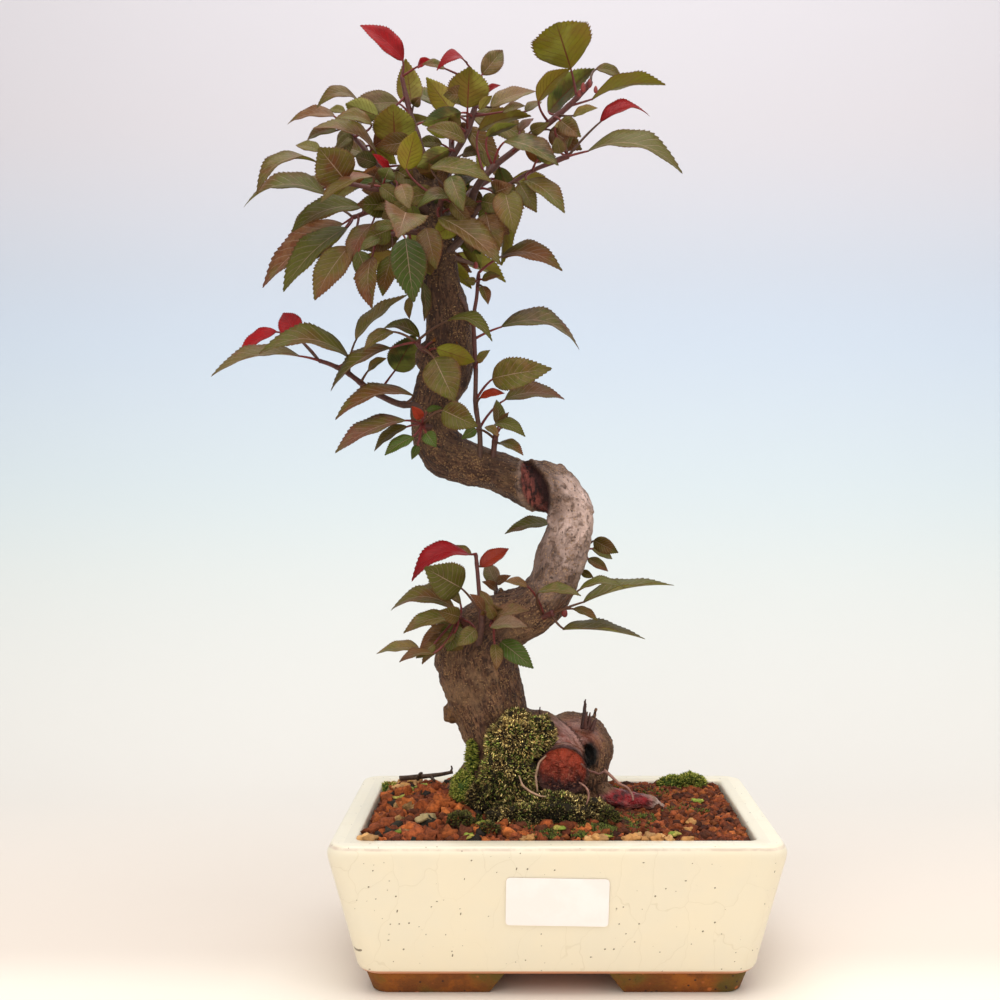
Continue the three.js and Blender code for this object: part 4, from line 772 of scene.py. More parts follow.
def limb_path(points, radii, steps):
    u = np.linspace(0, len(points) - 1, steps + 1)
    return along_spline(points, u), np.interp(u, range(len(radii)), radii)


fused = Heap()
center_lines = []
path, radii = limb_path([row[:3] for row in TRUNK], [row[3] for row in TRUNK], 150)
fused.add(rod(32, 150), bend(rod(32, 150), path, radii, bark_wave))
center_lines.append((path, radii))
for points, sizes in ROOTS:
    path, radii = limb_path(points, sizes, 8 * len(points))
    fused.add(rod(20, len(path) - 1), bend(rod(20, len(path) - 1), path, radii, bark_wave))
    center_lines.append((path, radii))
for points, sizes in SNAGS:
    path, radii = limb_path(points, sizes, 6)
    fused.add(rod(8, 6), bend(rod(8, 6), path, radii))
for middle, size in KNOBS:
    fused.add(ball(4), lumpy(ball(4), middle[2], 0.15, 1.3) * size + seen(*middle))
for middle, size in SMALL_KNOTS:
    fused.add(ball(3), lumpy(ball(3), middle[2], 0.5, 1.5) * size + seen(*middle))
blank = bpy.data.meshes.new("fused")
blank.from_pydata(metres(np.vstack(fused.spots)).tolist(), [], fused.faces)
skin = modified(blank, ("REMESH", {"mode": "VOXEL", "voxel_size": 0.0008, "use_smooth_shade": True}))
print("fused skin points:", len(skin.vertices))

# %% [markdown]
# Old bark at the foot is cracked along the limb, young bark higher up has rings. Each point of the
# skin is told which limb it lies on and how far along it, so that cracks follow the limb's bends.

# %% Sculpting the skin
def read_points(mesh, what="co", source="vertices"):
    values = np.empty(3 * len(mesh.vertices))
    (mesh.vertices if source == "vertices" else mesh.vertex_normals).foreach_get(what, values)
    return values.reshape(-1, 3)


def relief(points, scale, seed=0.0):
    """Noise at each point, where scale stretches it along the three directions."""
    return np.array([noise.noise(Vector(p)) for p in points * scale + seed])


spots = read_points(skin) / MM - POT_SHIFT
out = read_points(skin, "vector", "normals")


def along_limb(path, radii, number):
    """Every point's place on one limb: how far outside it, and its straightened position."""
    tangent, normal, side = frames_of(path)
    run = np.concatenate([[0], np.cumsum(np.linalg.norm(np.diff(path, axis=0), axis=1))])
    line = KDTree(len(path))
    for k, spot in enumerate(path):
        line.insert(spot, k)
    line.balance()
    k = np.array([line.find(Vector(p))[1] for p in spots])
    offset = spots - path[k]
    grain = np.stack([(offset * normal[k]).sum(1), (offset * side[k]).sum(1),
                      run[k] + (offset * tangent[k]).sum(1) + 500 * number], axis=1)
    return np.linalg.norm(offset, axis=1) - radii[k], grain


outside, grains_of = zip(*(along_limb(path, radii, n) for n, (path, radii) in enumerate(center_lines)))
outside, grains_of = np.array(outside), np.array(grains_of)
order = np.argsort(outside, axis=0)
every = np.arange(len(spots))
grain = grains_of[order[0], every]
sure = np.clip((outside[order[1], every] - outside[order[0], every]) / 5, 0, 1)

YOUNG_ABOVE = 165
old = np.clip((YOUNG_ABOVE - spots[:, 2]) / 40, 0, 1)
cracks = sure * (np.abs(relief(grain, (0.28, 0.28, 0.09))) - 0.25)
cracks += (1 - sure) * (np.abs(relief(spots, (0.22, 0.22, 0.12))) - 0.25)
fine = relief(spots, (0.8, 0.8, 0.6), 40.0)
coarse = relief(spots, (0.16, 0.16, 0.11), 60.0)
rings = sure * relief(grain, (0.06, 0.06, 0.55), 80.0)
push = old * (1.0 * cracks + 0.45 * fine + 1.0 * coarse)
push += (1 - old) * (0.3 * rings + 0.3 * fine + 0.2 * cracks + 0.8 * coarse)

# The wound: a lip around a hole, on the side that faces the eye.
WOUND = {"middle": (-9, 222), "half": (6.2, 13.0), "lean": math.radians(-24)}
flat = spots - seen(WOUND["middle"][0], -10, WOUND["middle"][1])
lean_x = flat[:, 0] * math.cos(WOUND["lean"]) - flat[:, 2] * math.sin(WOUND["lean"])
lean_z = flat[:, 0] * math.sin(WOUND["lean"]) + flat[:, 2] * math.cos(WOUND["lean"])
taper = np.sqrt(np.clip(1 - (lean_z / (WOUND["half"][1] * 1.25)) ** 2, 0.04, 1))
reach = np.hypot(lean_x / (WOUND["half"][0] * taper), lean_z / (WOUND["half"][1] * 1.12))
front = (flat[:, 1] < 9) & (out[:, 1] < 0.35) & (np.abs(lean_z) < 22)
lip = np.where(front, np.exp(-((reach - 1.2) / 0.24) ** 2), 0)
hole = np.where(front, np.clip((1.04 - reach) / 0.22, 0, 1), 0)
push = push * (1 - hole) + 1.7 * lip * (1 + 0.5 * relief(spots, (0.4, 0.4, 0.25), 5.0))
spots += out * push[:, None]
across_wound = np.clip(0.45 + lean_x / 11, 0, 1)
spots[:, 1] += hole * (2.2 + 3.2 * across_wound + 1.3 * relief(spots, (0.6, 0.6, 0.16), 11.0))

# The hollow between the stump and the lobe beside it.
HOLLOW = {"middle": (16, -14, 93), "size": (3.5, 7, 5.5)}
hollow = (spots - seen(*HOLLOW["middle"])) / HOLLOW["size"]
deep = np.linalg.norm(hollow, axis=1)
inside = deep < 1
spots[inside] += hollow[inside] * (1 / np.maximum(deep[inside], 0.05) - 1)[:, None] * HOLLOW["size"]
skin.vertices.foreach_set("co", metres(spots).ravel())

# %% [markdown]
# The sawn stump, the healed wound and the lichen lie where they grew, and the painted highlights and
# painted shade lie where the light falls, not where a pattern would put them. So each point carries how
# strongly each of them shows there.

# %% What the bark's finish needs to know at each point
STUMP_END, STUMP_BEFORE = (4, -23, 85.5), (4, -13, 89)


def glow(place, size, power=2):
    """A soft mask around a place, 1 in its middle."""
    return np.exp(-(np.linalg.norm((spots - seen(*place)) / size, axis=1)) ** power)


axis = unit(seen(*STUMP_END) - seen(*STUMP_BEFORE))
face = spots - seen(*STUMP_END)
ahead = face @ axis
from_axis = np.linalg.norm(face - np.outer(ahead, axis), axis=1)
near_end = (ahead > -4.5) & (from_axis < 16)
cut_face = near_end * np.clip((11.3 - from_axis) / 0.7, 0, 1) * np.clip((ahead + 2.5) / 0.6, 0, 1)
cut_rim = near_end * np.exp(-(((from_axis - 11.7) / 0.8) ** 2)) * np.clip((ahead + 4.5) / 2, 0, 1)
grown_over = near_end * np.exp(-(((from_axis - 12.2) / 1.3) ** 2)) * np.clip((ahead + 4.5) / 2, 0, 1)
spots += axis * (1.4 * grown_over - 0.9 * cut_face)[:, None]
stump_side = glow((8, -15, 101), (14, 14, 12), 4) * np.clip(0.6 - out[:, 1], 0, 1) * (1 - cut_face)
low_root = np.clip(1.25 - np.linalg.norm((spots - seen(33, -8, 70.5)) / (13, 8, 6), axis=1), 0, 1) * 3
red = np.clip(np.maximum(stump_side * 0.85, np.clip(low_root, 0, 1)), 0, 1)
# Pale: a painted highlight where the bend faces the light, together with the pale end of the red root and the
# pale lip of the wound.
pale = 1.15 * glow((12, -10, 209), (12, 20, 22)) + 0.55 * glow((50, -6, 70), (7, 8, 6))
pale = np.clip(pale + 0.35 * glow((0, -14, 184), (12, 12, 14)) + 0.2 * lip * (1 - hole), 0, 1)
# Painted shade: the hollow beside the stump is painted dark.
hollow_shade = np.clip(1.6 * glow((17.5, -14, 93), (3.6, 14, 6), 4), 0, 1)
lichen = glow((12, -12, 99), (4.5, 14, 5)) + 0.7 * glow((22, -8, 100), (3, 10, 4))
lichen += 0.8 * glow((-49, -3, 114), (6, 9, 6))
# Painted shade: the crotches under the crown are painted dark.
crotch_shade = glow((-10, -8, 136), (6, 14, 11)) + 0.8 * glow((-32, -12, 148), (14, 12, 7))
for mark, values in (("grain", grain * MM),
                     ("looks", np.stack([red, pale, np.clip(hole * 1.4, 0, 1)], axis=1)),
                     ("stump", np.stack([cut_face, cut_rim, across_wound], axis=1)),
                     ("shade_and_lichen", np.stack([hollow_shade, lichen, crotch_shade], axis=1))):
    layer = skin.attributes.new(mark, "FLOAT_VECTOR", "POINT")
    layer.data.foreach_set("vector", values.ravel())
skin.vertices.foreach_set("co", metres(spots).ravel())
print("wound points:", int((hole > 0.5).sum()), "stump points:", int((cut_face > 0.5).sum()))

# %% [markdown]
# Bark is brown with darker streaks along the limb and small pale pores across it. Where the bend
# faces the light it is painted grey-pink, a painted highlight, and higher up under the crown it is
# painted darker, a painted shade. The stump and the root beside it wear dark red wound paint, with a
# painted pink highlight on the stump's side. The hollow beside the stump and the crotches are painted
# dark, and so is the deep side of the wound: painted shade.

# %% Bark
bark, tree = new_material("bark")
place, spot = attribute(tree, "grain"), here(tree)
red_mask, highlight_and_pale_mask, wound_mask = parts(tree, attribute(tree, "looks"))
face_mask, rim_mask, wound_side = parts(tree, attribute(tree, "stump"))
z = parts(tree, spot)[2]
fibres = stretched(tree, place, (1.0, 1.0, 0.26))
streaks = stretched(tree, place, (1.0, 1.0, 0.42))
body = tint(tree, mottled(tree, fibres, 1000.0, 0.4, 0.6), paint("#331c12"), paint("#7e583e"))
body = patched(tree, body, mottled(tree, streaks, 210.0, 0.42, 0.66), 0.8, "#47291a")
body = patched(tree, body, mottled(tree, spot, 75.0, 0.48, 0.68), 0.7, "#8c6b4e")
body = patched(tree, body, mottled(tree, streaks, 620.0, 0.52, 0.66), 0.5, "#1c100a")
# Painted shade: the bark higher up, under the crown, is painted darker.
high = fade(tree, z, 0.215, 0.3, 0.4, 0.5)
body = tint(tree, times(tree, high, fade(tree, z, 0.16, 0.19)), body, paint("#2a160d"))
golden = mottled(tree, spot, 1100.0, 0.52, 0.62)
golden = times(tree, mottled(tree, streaks, 120.0, 0.4, 0.62), golden)
body = patched(tree, body, golden, 0.6, "#b08656")
grainy = times(tree, mottled(tree, spot, 130.0, 0.3, 0.6), mottled(tree, spot, 330.0, 0.3, 0.6))
# Painted highlight: grey-pink where the bend faces the light.
light = times(tree, highlight_and_pale_mask, fade(tree, grainy, 0.05, 0.6, 0.3, 1.0), True)
body = tint(tree, light, body, tint(tree, mottled(tree, spot, 90.0), paint("#b89c90"), paint("#ecccc0")))
flecks = joined(tree, specked(tree, stretched(tree, place, (1.0, 1.0, 1.8)), 520.0, 0.34, 0.16),
                specked(tree, spot, 900.0, 0.42, 0.12))
body = patched(tree, body, flecks, 0.65, "#b58c60")
dark_pores = joined(tree, specked(tree, stretched(tree, place, (1.0, 1.0, 1.5)), 170.0, 0.2, 0.14),
                    specked(tree, stretched(tree, spot, (1.0, 1.0, 0.7)), 650.0, 0.36, 0.16))
body = patched(tree, body, dark_pores, 0.7, "#1f130d")
# The raw wood of the wound is painted darker towards its deep right side, a painted shade in the hollow.
raw = tint(tree, fade(tree, wound_side, 0.25, 0.75), paint("#8f4a40"), paint("#331010"))
folds = mottled(tree, stretched(tree, spot, (1.2, 1.0, 0.35)), 460.0, 0.4, 0.62)
raw = tint(tree, folds, raw, paint("#260b0b"))
body = tint(tree, wound_mask, body, raw)
shade_and_lichen = parts(tree, attribute(tree, "shade_and_lichen"))
# Painted shade in the crotches.
body = patched(tree, body, shade_and_lichen[2], 0.8, "#2e1610")
body = patched(tree, body, mottled(tree, spot, 420.0, 0.35, 0.55), shade_and_lichen[1], "#8a6238")
coat = tint(tree, mottled(tree, spot, 85.0, 0.38, 0.6), paint("#37100e"), paint("#8c2c1c"))
coat = patched(tree, coat, mottled(tree, streaks, 500.0, 0.5, 0.7), 0.55, "#c46a48")
# The red wound paint on the stump's side, with a painted pink highlight in it.
share = times(tree, red_mask, fade(tree, cloud(tree, streaks, 240.0), 0.3, 0.55, 0.45, 1.0))
red_paint_highlight = tint(tree, mottled(tree, streaks, 150.0, 0.35, 0.62), paint("#83382a"), paint("#d0a098"))
body = tint(tree, share, body, red_paint_highlight)
low_red = times(tree, share, fade(tree, z, 0.084, 0.078))
crimson = tint(tree, mottled(tree, spot, 260.0, 0.4, 0.62), paint("#3f0a0d"), paint("#9c1c22"))
body = tint(tree, low_red, body, crimson)
# The cut face is painted from dark at its foot to a light orange-red at its top; the light top is a painted
# highlight.
streaky = mottled(tree, stretched(tree, spot, (1.0, 1.0, 0.4)), 300.0, 0.3, 0.7)
rise = plus(tree, fade(tree, z, 0.08, 0.103), times(tree, streaky, 0.5))
cut = tint(tree, fade(tree, rise, 0.2, 1.4), paint("#2c0d0c"), paint("#b0442c"))
cut = patched(tree, cut, mottled(tree, spot, 900.0, 0.55, 0.68), 0.5, "#c07858")
body = tint(tree, face_mask, body, cut)
body = patched(tree, body, rim_mask, 0.9, "#3a1012")
# Painted shade: near black in the hollow beside the stump.
body = patched(tree, body, shade_and_lichen[0], mottled(tree, spot, 330.0, 0.1, 0.45), "#0c0805")
gloss = plus(tree, times(tree, highlight_and_pale_mask, 0.5), joined(tree, share, face_mask), True)
rough = fade(tree, gloss, 0.0, 1.0, 0.72, 0.42)
height = plus(tree, cloud(tree, fibres, 700.0, 6.0, 0.65), times(tree, flecks, 0.3))
height = plus(tree, height, mottled(tree, streaks, 190.0, 0.42, 0.6))
height = plus(tree, height, times(tree, cloud(tree, spot, 1300.0, 3.0), 0.7))
finish_of(tree, body, rough, height, 0.0013, Specular_IOR_Level=0.4)

trunk_piece = put("trunk_and_roots", skin, [bark])
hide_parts("trunk")

# %% [markdown]
# The leaves sit on stems that grow from the trunk. A row of a stem gives where a leaf's stalk
# starts, its base and tip as they are seen, the depths of both, the width that is seen, negative
# where the underside faces the eye, and how high it arches. A word at the end names its tone.

# %% The leafy stems
SHOOTS = {
    "crown_top_left": {
        "stem": [(-58, 2, 362), (-64, 5, 385), (-70, 8, 405), (-74, 8, 422)],
        "radii": [2.6, 2, 1.6, 1.2],
        "leaves": [(1, -73, 429, -94, 446, 8, 0, 10, 3, "red"),
            (0.75, -69, 408, -72, 430, 16, 22, -13, 2), (1, -66, 426, -59, 429, 4, -4, 4, 1, "red"),
            (0.8, -85, 402, -101, 408, 2, -6, -12, 2, "grey"),
            (0.45, -77, 388, -78, 408, -2, -10, -21, 2), (0.3, -80, 375, -88, 384, 0, -4, 4, 1, "red")],
    },
    "crown_top_right": {
        "stem": [(-57, -1, 358), (-50, -4, 380), (-42, -6, 395), (-37, -4, 412), (-36, -2, 420)],
        "radii": [2.6, 2, 1.7, 1.4, 1.1],
        "leaves": [(0.9, -53, 425, -64, 427, -2, -8, 4, 1.5),
            (1, -42, 427, -57, 424, -10, -18, 5, 6, "red"), (0.55, -50, 405, -62, 421, 6, 12, -12, 2),
            (0.5, -42, 406, -41, 426, -14, -22, -20, 1), (1, -35, 422, -25, 434, 4, 12, 10, 1),
            (0.4, -43, 390, -62, 396, -14, -24, 8, 3), (0.7, -31, 406, -9, 414, 4, 10, 7, 2, "pale"),
            (0.75, -36, 405, -30, 412, -14, -20, -4, 1, "pale"),
            (0.6, -25, 404, -14, 407, -12, -18, 4, 1, "brown"), (0.62, -14, 404, -6, 409, 14, 20, 4, 1)],
    },
    "crown_left_upper": {
        "stem": [(-59, 2, 357), (-75, 8, 368), (-88, 14, 382), (-97, 18, 392), (-104, 20, 398)],
        "radii": [2.4, 2, 1.6, 1.3, 1.1],
        "leaves": [(0.85, -95, 410, -115, 406, 14, 8, 6, 6), (0.75, -88, 398, -106, 401, 6, -4, 6, 3),
            (1, -106, 402, -129, 398, 22, 28, 5, 3), (0.5, -86, 384, -117, 396, 4, -8, 6, 6),
            (0.95, -105, 395, -120, 389, 28, 36, 5, 3), (0.8, -98, 393, -106, 386, 10, 4, 6, 1, "grey")],
    },
    "crown_left_mid": {
        "stem": [(-57, -2, 354), (-74, -10, 364), (-92, -16, 368), (-106, -18, 371)],
        "radii": [2.4, 1.9, 1.5, 1.2],
        "leaves": [(1, -113, 385, -125, 388, -12, -6, 5, 1, "pale"),
            (1, -115, 380, -144, 364, -24, -36, 6, 8),
            (0.85, -101, 371, -114, 387, -30, -40, 20, 1, "rust"),
            (1, -110, 364, -150, 358, -14, -6, 7, 8), (1, -111, 367, -121, 373, -8, -2, 4, 1),
            (0.6, -88, 373, -113, 360, -28, -38, 6, 3, "pink"),
            (0.4, -77, 371, -97, 366, 2, 8, 5, 2, "green"),
            (0.35, -74, 369, -70, 357, -24, -32, 9, 1, "pink")],
    },
    "crown_left_low": {
        "stem": [(-55, 1, 344), (-70, 6, 352), (-86, 12, 356), (-98, 16, 353)],
        "radii": [2.4, 1.9, 1.5, 1.2],
        "leaves": [(0.85, -93, 358, -127, 346, 6, -2, 10, 5),
            (1, -110, 358, -127, 346, 26, 34, 6, 2, "dark"),
            (1, -102, 350, -141, 319, 18, 26, 12, 4, "rust"), (1, -100, 348, -131, 317, 8, 2, 12, 4),
            (0.9, -99, 339, -116, 313, -6, -14, 14, 3), (1, -106, 342, -115, 333, 28, 32, 5, 1, "dark"),
            (0.7, -88, 350, -99, 330, -2, -10, 9, 3, "pink")],
    },
    "crown_hanging": {
        "stem": [(-55, -3, 340), (-66, -12, 346), (-78, -16, 345), (-87, -16, 341)],
        "radii": [2.2, 1.8, 1.4, 1.1],
        "leaves": [(0.95, -84, 343, -94, 337, -24, -30, 5, 1, "dark"),
            (1, -95, 337, -88, 320, -16, -14, 10, 2, "dark"), (1, -88, 334, -88, 309, -24, -32, 10, 3),
            (0.7, -78, 335, -83, 315, -20, -18, 9, 2),
            (0.6, -72, 343, -68, 312, -28, -36, 17, 3, "green"),
            (0.35, -62, 348, -57, 328, -24, -32, 12, 2), (0.5, -72, 355, -76, 343, -24, -54, 20, 4),
            (0.6, -77, 357, -90, 357, -6, -4, 4, 1), (0.3, -64, 322, -63, 303, -18, -17, 5, 1, "dark"),
            (0.45, -69, 315, -70, 304, -12, -10, 4, 1)],
    },
    "crown_front": {
        "stem": [(-56, -2, 350), (-55, -14, 360), (-52, -20, 368)],
        "radii": [2, 1.6, 1.2],
        "leaves": [(0.7, -49, 359, -67, 357, -26, -36, 6, 7, "dark"),
            (0.4, -56, 353, -26, 330, -22, -34, 12, 3), (1, -50, 373, -44, 356, -28, -36, 10, 2, "dark"),
            (1, -60, 377, -30, 370, -18, -20, 8, 3, "olive"),
            (0.6, -72, 376, -67, 395, -18, -24, -12, 1)],
    },
    "shoot_right_main": {
        "stem": [(-54, -1, 336), (-46, -2, 342), (-42, -4, 353), (-38, -6, 367), (-30, -6, 377),
            (-20, -4, 385), (-10, -2, 393), (0, 0, 401), (10, 2, 410), (18, 3, 419)],
        "radii": [3, 2.8, 2.5, 2.2, 2, 1.9, 1.8, 1.7, 1.6, 2],
        "leaves": [(0.9, 8, 425, 1, 447, 2, -32, -29, 2), (0.75, -8, 409, 8, 425, -10, -18, -8, 3),
            (0.8, -3, 404, 20, 425, 12, 20, -12, 2, "dark"), (1, 20, 425, 33, 420, 8, 14, 5, 2),
            (0.85, 18, 410, 54, 417, 6, 16, -7, 4), (0.8, 9, 402, 21, 406, -8, -14, 4, 1, "pale"),
            (0.78, 3, 400, 13, 392, -16, -24, 9, 1), (0.45, -24, 390, 2, 378, -16, -28, 9, 3, "dark"),
            (0.4, -37, 395, -11, 402, 8, 12, -8, 3), (0.6, -17, 394, -10, 401, 6, 12, 4, 1, "pink"),
            (0.45, -33, 392, -18, 398, -12, -16, -5, 1, "dark")],
    },
    "shoot_right_low": {
        "stem": [(-54, -4, 334), (-43, -9, 345), (-38, -10, 356), (-30, -12, 363), (-20, -12, 370),
            (-10, -10, 376), (2, -8, 381), (7, -8, 383)],
        "radii": [2, 1.8, 1.6, 1.4, 1.3, 1.2, 1.8, 1.6],
        "leaves": [(0.95, 16, 385, 62, 374, -10, -16, 9, 9), (1, 22, 399, 46, 402, -2, 6, 5, 6, "red"),
            (0.7, -14, 371, 5, 355, -20, -30, 9, 3), (0.55, -24, 366, -19, 345, -20, -28, 14, 3),
            (0.35, -33, 355, -28, 333, -18, -26, 14, 3)],
    },
    "shoot_upright": {
        "stem": [(-36, -2, 234), (-36, -7, 248), (-38, -9, 263), (-38, -9, 280), (-39, -9, 303),
            (-37.5, -9, 315), (-36.5, -9, 327)],
        "radii": [1.8, 1.5, 1.4, 1.3, 1.2, 1.1, 1],
        "leaves": [(1, -26, 334, 4, 327, -10, -18, 9, 6), (0.6, -26, 300, 12, 289, -6, 4, 8, 9),
            (0.35, -30, 275, -1, 280, -16, -30, 15, 5), (0.2, -24, 265, 5, 265, 2, 10, 8, 4),
            (0.3, -36, 266, -24, 268, -17, -22, 4, 1, "orange")],
    },
    "spur_right": {
        "stem": [(-30, 0, 232), (-29, -4, 243), (-28, -6, 249)],
        "radii": [2, 1.7, 1.5],
        "leaves": [(1, -27, 252, -28, 265, -2, 2, 6, 1), (1, -29, 253, -14, 247, -14, -22, 6, 3),
            (0.6, -27, 244, -15, 238, -13, -22, 5, 2)],
    },
    "cluster_left": {
        "stem": [(-54, -2, 284), (-63, -8, 289), (-67, -10, 293)],
        "radii": [2, 1.6, 1.3],
        "leaves": [(1, -52, 303, -30, 293, -18, -23, 6, 6), (1, -79, 290, -108, 269, -14, -10, 6, 4),
            (1, -78, 298, -92, 289, -14, -22, 6, 2), (0.8, -65, 295, -85, 297, -2, 8, 5, 5),
            (0.6, -58, 285, -48, 264, -18, -25, 18, 2)],
    },
    "branch_left": {
        "stem": [(-60, -2, 256), (-66, -4, 262), (-75, -4, 263), (-84, -3, 267), (-92, -2, 272),
            (-100, 0, 278), (-108, 2, 282), (-114, 3, 284)],
        "radii": [2.6, 2.2, 2, 1.8, 1.7, 1.5, 1.4, 1.2],
        "leaves": [(0.25, -68, 267, -106, 255, -12, -24, 7, 6),
            (1, -123, 286, -166, 276, 2, -8, 6, 5, "pink"),
            (0.8, -99, 285, -143, 287, -9, -20, 10, 9, "olive"),
            (1, -134, 298, -153, 286, 14, 20, 6, 2, "red"),
            (1, -124, 295, -131, 307, 6, 12, 12, 1, "red"),
            (0.7, -96, 294, -70, 316, 12, 20, 6, 2, "pale"),
            (0.45, -77, 279, -67, 297, 14, 22, -15, 2, "dark"),
            (0.6, -90, 279, -81, 285, -8, -14, 4, 1, "pale")],
    },
    "spur_front": {
        "stem": [(-60, -4, 252), (-63, -12, 252), (-64, -15, 253)],
        "radii": [2, 1.7, 1.5],
        "leaves": [(0.8, -54, 260, -37, 252, -20, -29, 13, 2),
            (1, -72, 255, -106, 239, -22, -32, 8, 3, "pink"), (1, -71, 252, -87, 240, -10, -8, 5, 2),
            (1, -68, 247, -82, 238, -25, -32, 6, 1, "green")],
    },
    "shoot_low_red": {
        "stem": [(-38, -6, 134), (-37, -16, 146), (-35, -22, 158), (-36, -23, 168), (-37, -22, 180),
            (-38, -22, 191)],
        "radii": [2.6, 2.4, 2, 1.3, 1.2, 1.1],
        "leaves": [(1, -41, 190, -69, 177, -26, -34, 9, 8, "red"),
            (0.45, -45, 174, -63, 184, -28, -42, 18, 2, "brown"),
            (1, -40, 190, -52, 193, -16, -12, 4, 1), (0.9, -36, 184, -22, 193, -18, -12, 7, 1, "orange")],
    },
    "cluster_low_left": {
        "stem": [(-38, -6, 150), (-44, -18, 158), (-47, -22, 160)],
        "radii": [2, 1.8, 1.6],
        "leaves": [(0.8, -45, 166, -68, 172, -18, -12, 6, 5), (1, -48, 164, -79, 163, -24, -20, 8, 7),
            (1, -49, 159, -73, 152, -32, -40, 7, 3), (1, -46, 160, -56, 163, -34, -46, 8, 1),
            (1, -49, 155, -65, 145, -24, -24, 7, 2), (1, -48, 152, -64, 137, -31, -38, 7, 2),
            (1, -58, 147, -67, 140, -40, -46, 6, 1), (1, -65, 144, -86, 142, -14, -8, 5, 2, "pale"),
            (1, -58, 142, -75, 138, -42, -50, 4, 2), (0.6, -38, 154, -47, 146, -28, -35, 8, 1)],
    },
    "cluster_low_right": {
        "stem": [(-30, -4, 152), (-30, -16, 157), (-29, -20, 158)],
        "radii": [2, 1.8, 1.6],
        "leaves": [(1, -30, 159, -12, 163, -24, -30, 6, 2, "pink"),
            (1, -31, 155, -13, 155, -28, -36, 6, 2, "grey"), (1, -34, 163, -41, 171, -30, -35, 4, 1),
            (1, -30, 164, -36, 173, -18, -16, 5, 1), (1, -26, 148, -10, 135, -26, -35, 10, 2, "green"),
            (1, -29, 147, -28, 134, -30, -37, 6, 1)],
    },
    "twigs_low_top": {
        "stem": [(-26, 2, 158), (-28, 3, 168), (-28, 4, 174)],
        "radii": [1.8, 1.5, 1.2],
        "leaves": [(1, -28, 176, -33, 186, 4, 8, 8, 1, "grey")],
    },
    "cluster_right_lower": {
        "stem": [(-8, -4, 160), (-6, -13, 160), (0, -18, 162)],
        "radii": [2, 1.8, 1.6],
        "leaves": [(1, 14, 167, 58, 175, -17, -10, 4, 3), (1, 12, 173, 34, 174, -24, -27, 4, 3),
            (1, 9, 164, 21, 158, -24, -30, 4, 1), (0.9, 4, 154, 44, 149, -20, -16, 4, 2),
            (0.6, -13, 175, -24, 177, -19, -24, 4, 1), (0.6, -8, 172, 13, 170, -28, -33, 5, 2)],
    },
    "cluster_behind_bend": {
        "stem": [(8, 3, 196), (13, 12, 194), (15, 16, 192)],
        "radii": [2, 1.7, 1.5],
        "leaves": [(1, 19, 197, 31, 191, 14, 10, 8, 2), (1, 18, 193, 28, 188, 21, 26, 5, 1),
            (1, 16, 188, 26, 182, 14, 12, 5, 1), (1, -2, 205, -24, 200, 18, 20, 6, 2)],
    },
}

# %% Leaves too small for the solids
TINY_LEAVES = {
    "shoot_upright": [
        (0.95, -38, 322, -44, 323, -14, -18, 4, 1), (0.95, -35, 323, -26, 325, -15, -20, 4, 1),
        (0.9, -35, 320, -32, 311, -15, -20, 5, 1), (0.5, -37, 283, -31, 289, -15, -20, 4, 1, "pale")],
    "spur_front": [
        (0.8, -62, 259, -54, 261, -14, -12, 3, 1, "green"), (1, -66, 243, -69, 236, -18, -21, 4, 1, "green"),
        (1, -64, 256, -69, 262, -20, -25, 5, 1, "orange"),
        (0.7, -62, 249, -57, 242, -23, -28, 7, 1, "green")],
    "cluster_behind_bend": [(0.8, 13, 182, 19, 179, 14, 12, 4, 1)],
    "crown_top_right": [(0.85, -34, 413, -26, 417, -8, -12, 3, 1, "red")],
    "crown_left_upper": [
        (1, -101, 404, -109, 405, 26, 32, 4, 1, "pale"), (0.9, -102, 396, -100, 383, 8, 12, 8, 1, "grey")],
    "crown_top_left": [(0.5, -75, 408.5, -99, 406, 6, 10, 11.5, 3, "grey")],
    "shoot_right_low": [
        (1, 3, 384, 1, 392, -14, -18, 7, 1, "pink"), (1, 6, 386, 9, 394, -4, 0, 4, 1, "rust"),
        (1, 0, 397, 10, 397, -14, -10, 4, 1, "pale")],
    "spur_right": [
        (1, -26, 251, -22, 259, -11, -15, 4, 1), (0.9, -33, 252, -27, 247, -20, -27, 4, 1),
        (0.7, -38, 251, -45, 246, -14, -19, 5, 1, "green")],
    "cluster_low_right": [(1, -29, 159, -33, 167, -27, -31, 5, 1)],
    "twigs_low_top": [(1, -28, 176, -21, 180, 0, -4, 4, 1), (0.8, -28, 173, -35, 177, -2, -8, 4, 1)],
}

# %% [markdown]
# The back of the crown shows only between the front leaves. Four stems fill it, and a rule with
# seeded draws turns their leaves around the stem's end, about a quarter turn apart.

# %% Stems at the back of the crown, whose leaves follow a rule
BACK_SHOOTS = {
    "crown_back_left": ([(-58, 2, 350), (-70, 24, 368), (-82, 40, 378)], 11),
    "crown_back_right": ([(-57, 2, 346), (-42, 24, 364), (-30, 38, 372)], 23),
    "crown_back_top": ([(-55, 3, 352), (-50, 24, 382), (-50, 36, 402)], 37),
    "crown_back_low": ([(-55, 2, 326), (-60, 24, 334), (-62, 38, 334)], 53),
}
BACK_RULE = {"leaves": 4, "turn": 1.57, "length": (26, 10), "away": 10, "spread": 0.45, "forward": 30,
             "droop": 0.35, "backward": 0.5, "width": (6, 8)}


def dice(seed):
    """A seeded draw between 0 and 1."""
    state = seed

    def roll():
        nonlocal state
        state = (state * 16807) % 2147483647
        return state / 2147483647

    return roll


